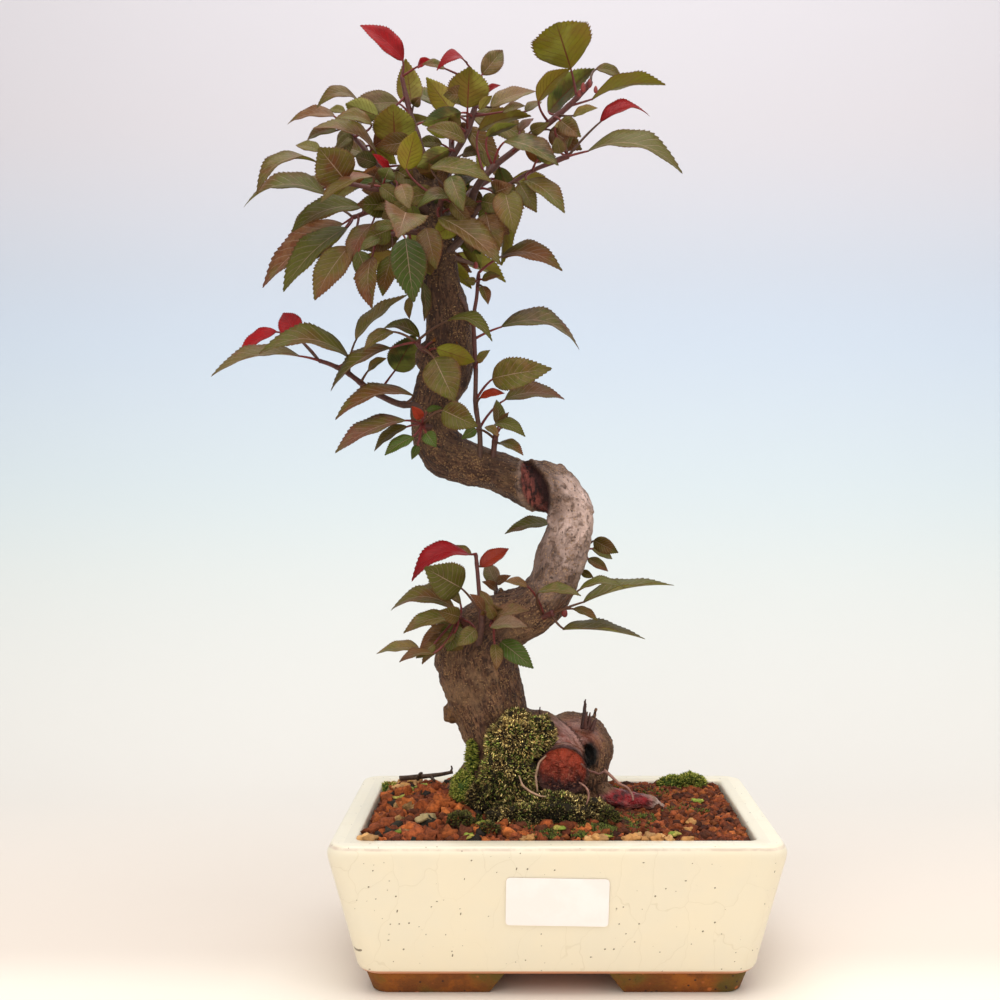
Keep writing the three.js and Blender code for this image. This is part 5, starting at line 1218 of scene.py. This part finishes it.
def back_leaves(stem, seed):
    """Rows of leaves around a stem's end, each with its length, side and width by chance."""
    rule, roll = BACK_RULE, dice(seed)
    x, y, z = stem[-1]
    rows = []
    for k in range(rule["leaves"]):
        turn = k * rule["turn"] + roll()
        length = rule["length"][0] + rule["length"][1] * roll()
        dx, dz = math.cos(turn), 0.7 * math.sin(turn)
        at = 1 - rule["spread"] * (k / rule["leaves"])
        base = (x + dx * rule["away"], z + dz * rule["away"])
        tip = (base[0] + dx * length * 0.8, base[1] + dz * length - rule["droop"] * length)
        depth = y - (1 - at) * rule["forward"]
        side = -1 if roll() < 0.5 else 1
        width = side * (rule["width"][0] + rule["width"][1] * roll())
        rows.append((at, *base, *tip, depth, depth + rule["backward"] * length, width, 3))
    return rows


for name, (stem, seed) in BACK_SHOOTS.items():
    SHOOTS[name] = {"stem": stem, "radii": [2.4, 1.8, 1.2], "leaves": back_leaves(stem, seed)}
for name, rows in TINY_LEAVES.items():
    SHOOTS[name]["leaves"] = SHOOTS[name]["leaves"] + rows
print("stems:", len(SHOOTS), "leaves:", sum(len(s["leaves"]) for s in SHOOTS.values()))

# %% [markdown]
# One leaf template is a flat grid: its length runs from 0 to 1, its width from -1 to 1. Solidify
# gives it an underside. The saw teeth, the fold along the midrib and the arch come when the grid
# is bent onto the plane of each leaf, so that no two leaves are alike.

# %% The leaf template
LEAF_ROWS, LEAF_COLUMNS = 38, 6
bm = bmesh.new()
bmesh.ops.create_grid(bm, x_segments=LEAF_ROWS, y_segments=LEAF_COLUMNS, size=1)
bmesh.ops.solidify(bm, geom=bm.faces[:], thickness=1.0)
leaf = Template(bm)
leaf_t = (leaf.spots[:, 0] + 1) / 2
leaf_s = np.sign(leaf.spots[:, 1]) * np.abs(leaf.spots[:, 1]) ** 1.5
leaf_side = np.round((leaf.spots[:, 2] - leaf.spots[:, 2].min()) / np.ptp(leaf.spots[:, 2]))
WIDTH_AT = ([0, 0.04, 0.1, 0.2, 0.33, 0.45, 0.58, 0.7, 0.8, 0.88, 0.94, 0.98, 1],
            [0.03, 0.3, 0.58, 0.84, 0.98, 1.0, 0.93, 0.76, 0.55, 0.35, 0.19, 0.08, 0.01])
row_number = np.round(leaf_t * LEAF_ROWS)
tooth = np.where(row_number % 2 == 1, 1.0, -1.0) * np.clip((leaf_t - 0.12) / 0.1, 0, 1)
at_edge = np.abs(leaf_s) > 0.99
leaf_width = np.interp(leaf_t, *WIDTH_AT) * np.where(at_edge, 1 + 0.04 * tooth, 1)
leaf_t = np.clip(leaf_t + np.where(at_edge, 0.012 * tooth, 0), 0, 1)
print("leaf faces:", len(leaf.faces), "sides:", np.unique(leaf_side))

# %% [markdown]
# A leaf is seen at a slant, so its row gives the width that shows. The leaf's full width is at least
# about half its length, and the turn about its midrib follows from the two. Where a solid leaf of
# the frame stands nearer or farther than its row says, the leaf goes to the solid's place.

# %% Placing a leaf
BLADE = {"thick": 0.42, "share": 0.48, "fold": 0.3, "wave": 0.035, "waves": 2.3, "rib": 0.4}
STALK = {"radii": (0.7, 0.45), "lift": 0.12, "into_leaf": 0.8}
NEAR_ENOUGH = 0.6
ASIDE = [0, -3, 3, -6, 6, -9, 9, -12, 12, -15, 15, -18, 18]


def leaf_frame(row, aside):
    base = seen(row[1], row[5] + aside, row[2])
    chord = seen(row[3], row[6] + aside, row[4]) - base
    length = np.linalg.norm(chord)
    chord = chord / length
    sight = EYE - base
    sight = unit(sight - chord * (sight @ chord))
    up = np.cross(chord, sight)
    if up[2] < 0:
        up = -up
    full = max(abs(row[7]), BLADE["share"] * length)
    turn = math.asin(row[7] / full)
    normal = up * math.cos(turn) + sight * math.sin(turn)
    return base, chord, np.cross(normal, chord), normal, length, full


def points_of_node(name):
    """A node's points, so that a leaf finds the place where its solid stands."""
    node_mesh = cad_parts[name].data
    points = KDTree(len(node_mesh.vertices))
    for k, v in enumerate(node_mesh.vertices):
        points.insert(v.co, k)
    points.balance()
    return points


def fitting_aside(row, solid):
    """How far along the line of sight the solid leaf of this row stands from the row's own depth."""
    misses = []
    for aside in ASIDE:
        base, chord, *_, length, _ = leaf_frame(row, aside)
        misses.append(solid.find(Vector(metres(base + chord * length)))[2] / MM)
    least = min(misses)
    return ASIDE[misses.index(least)] if least < NEAR_ENOUGH else 0


# The grey and the hazy upper tones are partly painted sheen, leaf tops that catch the top light.
TONES = {  # the upper side, then the underside
    "bronze": ("#5c3b13", "#695c12"), "olive": ("#4d420d", "#756f14"), "red": ("#8a060d", "#90090f"),
    "orange": ("#86290f", "#8a3a14"), "rust": ("#5a3012", "#6a3d10"), "pink": ("#6c4532", "#705036"),
    "pale": ("#7c6834", "#827834"), "green": ("#3a5012", "#4c6018"), "dark": ("#32340f", "#3a4213"),
    "brown": ("#4a300f", "#4e4010"), "grey": ("#756049", "#6f6342"), "sheen_haze": ("#634722", "#655a18"),
}
EVERYDAY = ["bronze", "sheen_haze", "bronze", "olive", "olive"]


def lay_leaf(heap, row, frame_of_leaf, draw):
    base, chord, across, normal, length, full = frame_of_leaf
    arch = row[8]
    tone = row[9] if len(row) > 9 else draw.choice(EVERYDAY)
    upper, under = (varied(draw, code, 0.24) for code in TONES[tone])
    s = leaf_s * leaf_width
    wave = BLADE["wave"] * full * np.sin(2 * math.pi * (BLADE["waves"] * leaf_t + draw.random())) * s**2
    fold = BLADE["fold"] * full / 2 * np.sqrt(s**2 + 0.004)
    lift = 4 * arch * leaf_t * (1 - leaf_t) + fold + wave
    thin = BLADE["thick"] * (1 - 0.45 * np.abs(leaf_s)) * np.clip(1.3 - leaf_t, 0.4, 1)
    rib = np.where((leaf_side < 0.5) & (np.abs(leaf_s) < 0.02), BLADE["rib"] * (1 - leaf_t), 0)
    spots = base + np.outer(leaf_t * length, chord) + np.outer(s * full / 2, across)
    spots += np.outer(lift + (leaf_side - 0.5) * thin - rib, normal)
    place_in_leaf = np.stack([leaf_t, leaf_s, leaf_side], axis=1)
    chance = np.array([draw.random() for _ in range(3)])
    heap.add(leaf, spots, 0, place=place_in_leaf, upper=upper, under=under, tone=upper, chance=chance)


def add_wood(heap, template, spots, tone):
    """Wood among leaves: it has no place in a leaf, so those values are blank."""
    blank = np.zeros((len(spots), 3))
    heap.add(template, spots, 1, place=blank, upper=tone, under=tone, tone=tone, chance=blank)


def lay_stalk(heap, root, frame_of_leaf, arch, tone):
    base, chord, _, normal, length, _ = frame_of_leaf
    start = unit(chord * length + normal * 4 * arch)  # the way that the arched leaf sets out
    reach = np.linalg.norm(base - root)
    between = 0.5 * base + 0.5 * root + (0, 0, STALK["lift"] * reach)
    turn = 0.5 * (base - start * reach * 0.4) + 0.5 * between
    w = np.linspace(0, 1, 7)[:, None]
    path = root * (1 - w) ** 2 + 2 * turn * w * (1 - w) + (base + start * STALK["into_leaf"]) * w**2
    add_wood(heap, rod(6, 6), bend(rod(6, 6), path, np.linspace(*STALK["radii"], 7)), tone)


# %% [markdown]
# A leaf's finish follows its own length and width, which each point carries. The midrib and the
# side veins are lines in those numbers. The underside is olive with a dark red rib, the upper side
# bronze with a haze that is partly fine hairs and partly a painted sheen, and young leaves are red.

# %% Leaf and twig
leaf_finish, tree = new_material("leaf")
t, s, side = parts(tree, attribute(tree, "place"))
across = calc(tree, "ABSOLUTE", s)
rib = fade(tree, plus(tree, across, times(tree, t, 0.015)), 0.012, 0.045, 1.0, 0.0)
slant = minus(tree, times(tree, t, 9.0), times(tree, across, 2.4))
saw = calc(tree, "PINGPONG", slant, 0.5)
veins = fade(tree, saw, 0.03, 0.1, 1.0, 0.0)
veins = times(tree, veins, fade(tree, across, 0.75, 1.0, 1.0, 0.0))
object_place = here(tree)
chance = parts(tree, attribute(tree, "chance"))
patch = cloud(tree, object_place, 75.0, 3.0)
halves = times(tree, minus(tree, chance[0], 0.5), times(tree, s, 0.25))
patch = plus(tree, patch, plus(tree, halves, times(tree, chance[1], 0.25)))
green_share = times(tree, fade(tree, patch, 0.5, 0.72), 0.6)
reddish = times(tree, fade(tree, patch, 0.62, 0.42), fade(tree, t, 0.2, 1.0, 0.15, 0.6))
upper = tint(tree, green_share, attribute(tree, "upper"), paint("#545a18"))
upper = tint(tree, reddish, upper, paint("#6c3620"))
# The haze on leaf tops: partly fine hairs, partly a painted sheen of the top light.
sheen_haze = mottled(tree, object_place, 260.0, 0.35, 0.65)
upper = patched(tree, upper, sheen_haze, fade(tree, chance[2], 0.2, 0.9, 0.05, 0.45), "#7f603e")
r, g, _ = parts(tree, attribute(tree, "upper"))
fresh = fade(tree, calc(tree, "DIVIDE", g, r), 1.2, 2.0, 0.0, 0.75)
upper = tint(tree, fresh, upper, attribute(tree, "upper"))
upper = patched(tree, upper, mottled(tree, object_place, 1200.0, 0.45, 0.6), 0.3, "#3a2a1a")
young = fade(tree, calc(tree, "DIVIDE", r, g), 8.0, 10.0)
upper = tint(tree, young, upper, tint(tree, times(tree, mottled(tree, object_place, 140.0), 0.3),
                                      attribute(tree, "upper"), paint("#4a060a")))
pale_vein = tint(tree, young, paint("#b0907c"), paint("#a03a3c"))
ribs = times(tree, joined(tree, rib, times(tree, veins, 0.4)), 0.6)
upper = tint(tree, ribs, upper, pale_vein)
under = tint(tree, times(tree, mottled(tree, object_place, 90.0, 0.4, 0.75), 0.5),
             attribute(tree, "under"), paint("#7d5426"))
under = patched(tree, under, fade(tree, patch, 0.6, 0.8), 0.5, "#8c9038")
under = patched(tree, under, rib, 0.9, "#64201c")
under = patched(tree, under, veins, 0.25, "#6b3a20")
body = tint(tree, side, under, upper)
margin = times(tree, fade(tree, across, 0.9, 1.0), 0.6)
body = tint(tree, margin, body, paint("#5d2f22"))
height = minus(tree, cloud(tree, object_place, 900.0, 3.0), joined(tree, rib, veins))
finish_of(tree, body, fade(tree, side, 0.0, 1.0, 0.6, 0.45), height, 0.0002, Specular_IOR_Level=0.18)

twig_bark = toned_material("twig_bark", 0.55, 700.0, 0.0002, 0.7, 1.2, 0.45)

# %% [markdown]
# Each stem grows as one piece: its wood, thicker where a leaf's stalk leaves it, then for each leaf
# the blade and the stalk. Thick parts of the crown get small dark leaves inside as well.

# %% Growing every stem
STEM_TONES = {"base": "#4a3328", "tip": "#56211d"}
STEM = {"swell": 0.16, "reach": 0.12, "slim": 0.8, "end": 0.5}
FILLED = {"crown_top_left": 5, "crown_top_right": 7, "crown_left_upper": 5, "crown_left_mid": 6,
          "crown_left_low": 5, "crown_hanging": 5, "crown_front": 6, "shoot_right_main": 9,
          "shoot_right_low": 6, "crown_back_left": 4, "crown_back_right": 5, "crown_back_top": 5,
          "crown_back_low": 3, "cluster_left": 2, "cluster_low_left": 3, "cluster_low_right": 2}


def filler_leaves(points, count, draw):
    """Rows of small inner leaves close to a stem, where the crown is thick."""
    rows = []
    for k in range(count):
        at = 0.12 + 0.6 * (k + draw.random()) / count
        x, y, z = along_spline(points, np.array([at * (len(points) - 1)]))[0]
        nearer = 1 - y / EYE[1]
        x, z = EYE[0] + (x - EYE[0]) / nearer, EYE[2] + (z - EYE[2]) / nearer
        turn = draw.uniform(0, 2 * math.pi)
        dx, dz = math.cos(turn), 0.6 * math.sin(turn)
        length = draw.uniform(14, 23)
        base = (x + dx * draw.uniform(3, 8), z + dz * draw.uniform(3, 8) + 2)
        tip = (base[0] + dx * length * 0.85, base[1] + dz * length - 0.3 * length)
        depth = y + draw.uniform(-10, 10)
        width = draw.choice((-1, 1, 1)) * draw.uniform(5, 13)
        rows.append((at, *base, *tip, depth, depth + draw.uniform(-0.5, 0.3) * length, width, 2,
                     draw.choice(["dark", "brown", "dark", "olive", "brown", "rust"])))
    return rows


draw = random.Random(19)
for name, shoot in SHOOTS.items():
    heap = Heap()
    solid = points_of_node(name)
    points, radii, rows = shoot["stem"], shoot["radii"], shoot["leaves"]
    last = len(points) - 1
    path, sizes = limb_path(points, radii, 7 * len(points))
    u = np.linspace(0, last, len(path))
    for row in rows:
        sizes *= 1 + STEM["swell"] * np.exp(-(((u - row[0] * last) / STEM["reach"]) ** 2))
    sizes *= STEM["slim"]
    sizes[-1] *= STEM["end"]
    template = rod(10, len(path) - 1)
    share = np.clip(template.spots[:, 2], 0, 1)[:, None]
    low_tone, high_tone = (np.array(paint(STEM_TONES[end])[:3]) for end in ("base", "tip"))
    tone = low_tone * (1 - share) + high_tone * share
    add_wood(heap, template, bend(template, path, sizes), tone)
    fillers = filler_leaves(points, FILLED.get(name, 0), draw)
    without_solid = TINY_LEAVES.get(name, []) + fillers
    for row in rows + fillers:
        aside = 0 if row in without_solid else fitting_aside(row, solid)
        frame_of_leaf = leaf_frame(row, aside)
        lay_leaf(heap, row, frame_of_leaf, draw)
        step = min(row[0] * last, len(points) - 1.05)
        root = along_spline(points, np.array([step]))[0]
        stalk_tone = varied(draw, "#6a241f" if row[7] < 0 or draw.random() < 0.6 else "#54331f", 0.2)
        lay_stalk(heap, root, frame_of_leaf, row[8], stalk_tone)
    grown = heap.piece(name + "_leaves", [leaf_finish, twig_bark])
    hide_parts(name)

# %% [markdown]
# Buds are small red balls drawn out to a point. Two stems without leaves stand beside the limb.

# %% Buds and bare side stems
BUDS = [((14, -6, 416), (1.3, 1.3, 2.4)), ((17, -7, 418), (1.2, 1.2, 2.2)), ((12, -6, 413), (1.1, 1.1, 1.8)),
        ((20, -7, 415), (1.0, 1.0, 1.8)), ((5, -13, 162), (1.4, 1.4, 2.2)), ((-38, -5, 330), (1.2, 1.2, 1.8)),
        ((-40, -5, 303), (1.2, 1.2, 1.8)), ((-63, 0, 330), (1.6, 1.6, 2.2)),
        ((-58, -6, 296), (1.3, 1.3, 2.0))]
SIDE_STEMS = [([(-52, -4, 333), (-46, -5, 333), (-38, -5, 330)], [1.3, 1.1, 0.8]),
              ([(-50, -5, 317), (-45, -6, 314), (-40, -5, 303)], [1.4, 1.1, 0.8])]
buds = Heap()
for middle, size in BUDS:
    spots = ball(3).spots * size
    spots[:, :2] *= (1 - 0.25 * spots[:, 2] / size[2])[:, None]
    buds.add(ball(3), spots + seen(*middle), tone=varied(draw, "#7c2f2b", 0.2))
for points, sizes in SIDE_STEMS:
    path, radii = limb_path(points, sizes, 8)
    buds.add(rod(8, 8), bend(rod(8, 8), path, radii), tone=varied(draw, "#5c4035", 0.1))
buds_piece = buds.piece("buds_and_side_stems", [twig_bark])

# %% [markdown]
# Moss is a mat of small pointed shoots. A lumpy body gives each cushion its mass, and thousands of
# three-sided blades stand on it, bent by chance and coloured one by one.

# %% Moss bodies and blades
bm = bmesh.new()
bmesh.ops.create_cone(bm, cap_ends=True, segments=3, radius1=1, radius2=0, depth=1)
long_edges = [e for e in bm.edges if abs(e.verts[0].co.z - e.verts[1].co.z) > 0.5]
bmesh.ops.subdivide_edges(bm, edges=long_edges, cuts=1)
bmesh.ops.translate(bm, vec=(0, 0, 0.5), verts=bm.verts[:])
blade = Template(bm)
DARK_MOSS = ["#4c4c20", "#66652c", "#33311a", "#56622a", "#757f3c", "#5d4b2a", "#a08c52", "#77603a",
             "#c0ac70", "#4b3a24"]
BRIGHT_MOSS = ["#848a34", "#a4a648", "#68742c", "#bab25a", "#505f20"]
MOSS_BED = {True: "#1e180c", False: "#36481a"}
moss_mat = toned_material("moss_blades", 0.85, 900.0, 0.0001, 0.7, 1.2, 0.2)
MOSS = {
    "moss_mound": (
        [((-22, -20, 82), (15, 9, 15)), ((-4, -25, 68), (26, 8, 7.5)), ((-19, -18, 99), (15, 9, 13)),
         ((-18, -15, 107), (9, 8, 8.5)), ((-7, -15, 101), (8.5, 7, 12)), ((-34, -18, 73), (9, 7, 9)),
         ((-6, -31, 62.5), (30, 6, 8)), ((14, -26, 65), (14, 7, 8))], DARK_MOSS, 17000, (1.0, 2.4)),
    "moss_strip_left": (
        [((-39.5, -8, 92), (2.8, 8, 12.5)), ((-43.5, -12, 77), (6.5, 8, 9.5))],
        BRIGHT_MOSS, 2600, (1.0, 2.2)),
    "moss_tuft_back_right": (
        [((57, 50, 79), (8, 6, 5)), ((66, 50, 79.5), (8, 6, 5.5))], BRIGHT_MOSS, 1800, (1.2, 2.6)),
    "moss_patch_back_left": (
        [((-79, 48, 76), (6, 7, 4)), ((-72, 50, 76), (6, 6, 4))], BRIGHT_MOSS, 1100, (1.2, 2.6)),
}


def lay_blade(heap, foot, way, length, width, tone, droop=0.35):
    """One blade from its foot, along a direction, bending over by its own weight."""
    side = unit(np.cross(way, (0.3, 0.5, 0.81)))
    over = np.cross(way, side)
    p = blade.spots
    spots = foot + np.outer(p[:, 0] * width, side) + np.outer(p[:, 1] * width, over)
    spots += np.outer(p[:, 2] * length, way)
    spots[:, 2] -= droop * length * p[:, 2] ** 2
    heap.add(blade, spots, tone=tone)


def lightness_with_shade(foot, draw):
    """How light a blade of the mound is: its low part is painted darker, a painted shade, and each blade
    differs.
    """
    level = 0.8 + 0.85 * min(1, max(0, (foot[2] - 74) / 22)) + 0.9 * noise.noise(Vector(foot * 0.16))
    return level * draw.choice((0.35, 0.6, 0.9, 1.3, 2.1))


def scattered_way(draw):
    """A direction by chance, all of them equally likely."""
    return unit(np.array([draw.gauss(0, 1), draw.gauss(0, 1), draw.gauss(0, 1)]))


def is_hidden(foot, way, lumps):
    """Whether a blade would stand in the soil, hang under a lump or start inside another."""
    return foot[2] < 64 or way[2] < -0.5 or any((((foot - m) / s) ** 2).sum() < 0.75 for m, s in lumps)


for name, (lumps, tones, count, (short, long)) in MOSS.items():
    heap = Heap()
    placed = [(seen(*middle), np.array(size) * 0.9) for middle, size in lumps]
    for k, (middle, size) in enumerate(placed):
        heap.add(ball(4), lumpy(ball(4), k + 3, 0.3, 2.6) * size * 0.93 + middle,
                 tone=varied(draw, MOSS_BED[tones is DARK_MOSS], 0.1))
    weights = [size[0] * size[2] for _, size in placed]
    while heap.count < len(placed) * len(ball(4).spots) + count * len(blade.spots):
        middle, size = draw.choices(placed, weights)[0]
        way = scattered_way(draw)
        clump = noise.noise(Vector((middle + way * size) * 0.35))
        foot = middle + way * size * (0.97 + 0.1 * clump)
        if is_hidden(foot, way, placed):
            continue
        lean = unit(way / size + 0.05 * scattered_way(draw))
        lean = unit(lean + (0, 0, 0.3))
        patch = tones if noise.noise(Vector(foot * 0.11 + 7)) < 0.12 else tones[::-1][:5]
        length, width = draw.uniform(short, long) * (1 + 0.8 * clump), draw.uniform(0.32, 0.55)
        tone = varied(draw, draw.choice(patch), 0.4) * (lightness_with_shade(foot, draw) if tones is DARK_MOSS else 1)
        lay_blade(heap, foot, lean, length, width, tone)
    cushion = heap.piece(name + "_blades", [moss_mat])
    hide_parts(name)

# %% [markdown]
# Around the cushions the moss thins out to single blades between the granules. They stand in loose
# ovals on the soil, and thicker on three small domes in front.

# %% The thin film of moss on the soil around the stump
FILM = [((10, -34), (30, 11), 1500), ((6, -49), (20, 6), 1000), ((30, -38), (15, 8), 800),
        ((36, -24), (11, 9), 500), ((-30, -34), (14, 9), 500), ((48, 30), (20, 14), 300),
        ((-66, 30), (14, 14), 350), ((62, -6), (12, 9), 160)]
FILM_DOMES = [((-44, -38, 70), 6.5, 900), ((-30, -44, 68), 4.5, 350), ((24, -30, 70), 6, 600)]
FILM_HALF = (85, 55)
film = Heap()
for (mx, my), (wide, deep), count in FILM:
    for _ in range(count):
        turn, reach = draw.uniform(0, 2 * math.pi), draw.random() ** 0.6
        px, py = mx + wide * reach * math.cos(turn), my + deep * reach * math.sin(turn)
        clump = noise.noise(Vector((px * 0.12, py * 0.12, 9)))
        if abs(px) > FILM_HALF[0] or abs(py) > FILM_HALF[1] or clump < -0.15:
            continue
        foot = np.array([px, py, soil_level(px, py) + 0.6 + 2.4 * max(0, clump)])
        way = unit(np.array([draw.gauss(0, 0.5), draw.gauss(0, 0.5), 1.0]))
        lay_blade(film, foot, way, draw.uniform(1.2, 2.6), draw.uniform(0.35, 0.55),
                  varied(draw, draw.choice(DARK_MOSS[:4] + BRIGHT_MOSS[2:3]), 0.3), 0.2)
for middle, reach, count in FILM_DOMES:
    for _ in range(count):
        way = scattered_way(draw)
        way[2] = abs(way[2])
        foot = np.array(middle) + way * reach * (0.85 + 0.3 * noise.noise(Vector(way * 2 + reach)))
        lay_blade(film, foot, unit(way + (0, 0, 0.3)), draw.uniform(1.0, 2.0), draw.uniform(0.35, 0.5),
                  varied(draw, draw.choice(DARK_MOSS[:3] + DARK_MOSS[9:]), 0.5))
film_piece = film.piece("moss_film", [moss_mat])

# %% [markdown]
# Shed bits of moss lie flat on the soil as crumbs. The other small things are bent rods: thin roots
# that run down the stump, splinters that stand where wood broke, and a dead twig at the back.

# %% Leafy crumbs, thin roots, splinters and the dead twig
CRUMBS = [(-33, -35), (-40, -52), (2, -43), (21, -52), (-72, 26), (-66, 34), (-76, 8), (52, -50), (70, 10),
          (-70, -44)]
leafy = Heap()
for k, (px, py) in enumerate(CRUMBS):
    for _ in range(3):
        shape = lumpy(ball(2), 130 + k, 0.5, 1.3) * (draw.uniform(2.0, 3.6), draw.uniform(1.3, 2.2), 0.8)
        spun = turned(draw) + [[0, 0, 0.1], [0, 0, 0.2], [0, 0, 0]]
        qx, qy = px + draw.uniform(-2, 2), py + draw.uniform(-1.5, 1.5)
        leafy.add(ball(2), shape @ spun + (qx, qy, soil_level(qx, qy) + draw.uniform(1.8, 2.8)),
                  tone=varied(draw, draw.choice(["#7d8a35", "#97983f", "#a89a4a"]), 0.2))
leafy_piece = leafy.piece("leafy_crumbs", [moss_mat])

ROOT_HAIRS = [([(-4, -27, 93), (-7.5, -27, 89), (-8.8, -28, 82), (-8.4, -29, 75.5)], [0.6, 0.9, 0.9, 0.6]),
              ([(-17, -29, 83), (-14.5, -30.5, 77.5), (-9, -32, 74), (-4, -32, 72)], [0.6, 0.9, 0.8, 0.5]),
              ([(12, -26, 80), (15.5, -28, 77), (16.5, -29, 73), (16, -30, 69)], [0.5, 0.9, 0.9, 0.6]),
              ([(13, -24, 89), (17, -22, 85.5), (21, -20, 84.5), (25, -16, 85)], [0.8, 0.9, 0.8, 0.6]),
              ([(24, -12, 86), (30, -13, 81), (36, -13, 76.5), (38, -14, 72)], [1.3, 1.2, 1.0, 0.7])]
SPLINTERS = [([(14, -8, 106), (14.5, -8, 113), (15, -8, 120)], [1.5, 1.0, 0.3]),
             ([(16, -9, 106), (17, -9, 110), (17.3, -9, 114)], [1.2, 0.8, 0.3]),
             ([(18, -9, 105), (19.5, -9, 109), (20.4, -9, 111)], [1.2, 0.9, 0.3]),
             ([(15, -10, 106), (15.2, -11, 110), (16, -11, 114)], [1.2, 0.8, 0.3]),
             ([(-7, -9, 110), (-7, -9, 113), (-6.6, -9, 116.5)], [0.5, 0.4, 0.3])]
noise.seed_set(7)  # without a seed, noise_vector gives other roots at each run
hairs = Heap()
for k, (points, sizes) in enumerate(ROOT_HAIRS + SPLINTERS):
    path, radii = limb_path(points, sizes, 18)
    wander = np.array([noise.noise_vector(Vector(p * 0.28 + k)) for p in path])
    is_root = k < len(ROOT_HAIRS)
    path = path + wander * np.linspace(0, 1, 19)[:, None] * (1.6 if is_root else 0.5)
    share = 0.6 if is_root else 1.0
    tones = ["#8a6152", "#744a40", "#9a7a62"] if is_root else ["#3a1c16", "#4a241c"]
    tone = varied(draw, draw.choice(tones), 0.15)
    hairs.add(rod(7, 18), bend(rod(7, 18), path, radii * share), tone=tone)
hairs_piece = hairs.piece("thin_roots", [twig_bark])

TWIGS = [([(-75, 40, 82), (-66, 41, 82.6), (-57, 42, 83.6), (-49, 43, 85)], [1.3, 1.3, 1.1, 0.8]),
         ([(-66, 41, 81.5), (-65, 38, 84), (-64, 36, 84.5)], [1, 0.8, 0.6]),
         ([(-50.5, 43, 84.5), (-49.5, 44, 86.5), (-49.8, 44, 88)], [0.7, 0.5, 0.4]),
         ([(-60, 42, 83), (-58, 36, 81)], [0.9, 0.7])]
dead_wood = toned_material("dead_wood", 0.8, 500.0, 0.0004, 0.5, 1.3)
twig = Heap()
for points, sizes in TWIGS:
    path, radii = limb_path(points, sizes, 14)
    twig.add(rod(9, 14), bend(rod(9, 14), path, radii, bark_wave), tone=varied(draw, "#4c3a2e", 0.1))
twig_piece = twig.piece("dead_twig_wood", [dead_wood])
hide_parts("dead_twig")

# %% [markdown]
# The stage is one pale sheet that runs from the floor up into the wall, so that no line shows
# behind the pot. Its tone goes from warm at the floor to a cool grey above. The sheet is clear from
# its outer side, so that a camera behind the wall still sees the tree. Large soft lamps and an even
# sky give the light of a studio tent.

# %% Stage and light
SHEET = {"half": 1.6, "wall": 0.75, "high": 2.2, "bow": 0.45}
bm = bmesh.new()
bmesh.ops.create_grid(bm, x_segments=1, y_segments=1, size=SHEET["half"])
back = [e for e in bm.edges if all(v.co.y > 1.5 for v in e.verts)]
for v in {v for e in back for v in e.verts}:
    v.co.y = SHEET["wall"]
grown = bmesh.ops.extrude_edge_only(bm, edges=back)
raised = [g for g in grown["geom"] if isinstance(g, bmesh.types.BMVert)]
bmesh.ops.translate(bm, vec=(0, 0, SHEET["high"]), verts=raised)
crease = [e for e in bm.edges if all(abs(v.co.y - SHEET["wall"]) < 1e-6 and v.co.z < 1e-6 for v in e.verts)]
bmesh.ops.bevel(bm, geom=crease, offset=SHEET["bow"], offset_type="OFFSET", segments=24, profile=0.5,
                affect="EDGES", material=-1)
sheet_mesh = bpy.data.meshes.new("sheet")
bm.to_mesh(sheet_mesh)
bm.free()
sheet_mesh.polygons.foreach_set("use_smooth", [True] * len(sheet_mesh.polygons))
sheet_finish, tree = new_material("stage_paper")
_, away, height = parts(tree, here(tree))
body = tint(tree, fade(tree, away, -0.1, 0.6), paint("#dacdc0"), paint("#d3d2cd"))
# Painted light: the floor in front of the pot is painted lighter, where the pot's shadow falls.
body = tint(tree, fade(tree, away, -0.06, 0.01), paint("#ebe1d3"), body)
for low, high, code in ((0.02, 0.25, "#c6d0d1"), (0.12, 0.42, "#bcc8d7"), (0.35, 0.62, "#c7c4ca")):
    body = tint(tree, fade(tree, height, low, high), body, paint(code))
matt, output = finish_of(tree, body, 0.9)
clear = add_node(tree, "ShaderNodeBsdfTransparent")
facing_out = add_node(tree, "ShaderNodeNewGeometry").outputs["Backfacing"]
either = add_node(tree, "ShaderNodeMixShader")
for socket, source in zip(either.inputs, (facing_out, matt.outputs[0], clear.outputs[0])):
    tree.links.new(source, socket)
tree.links.new(either.outputs[0], output.inputs["Surface"])
sheet_mesh.materials.append(sheet_finish)
sheet = bpy.data.objects.new("stage", sheet_mesh)
bpy.context.scene.collection.objects.link(sheet)


def lamp(name, power, size, spot, tone):
    data = bpy.data.lights.new(name, "AREA")
    data.energy, data.size, data.color = power, size, tone
    made = bpy.data.objects.new(name, data)
    made.location = spot
    made.rotation_euler = (Vector((0, 0, 0.2)) - Vector(spot)).to_track_quat("-Z", "Y").to_euler()
    bpy.context.scene.collection.objects.link(made)


lamp("key", 12.5, 1.3, (-0.5, -0.95, 1.25), (1.0, 0.98, 0.95))
lamp("side", 4.8, 1.0, (1.1, -0.5, 0.75), (1.0, 0.97, 0.94))
lamp("front", 4.0, 0.8, (-0.15, -1.5, 0.12), (1.0, 0.985, 0.96))
lamp("top", 13.0, 1.2, (0.1, -0.05, 1.35), (0.98, 0.985, 1.0))
world = bpy.data.worlds.new("tent")
world.use_nodes = True
sky = world.node_tree.nodes["Background"]
sky.inputs["Color"].default_value = (1.0, 0.985, 0.965, 1.0)
sky.inputs["Strength"].default_value = 0.47
bpy.context.scene.world = world
bpy.context.scene.view_settings.view_transform = "Standard"
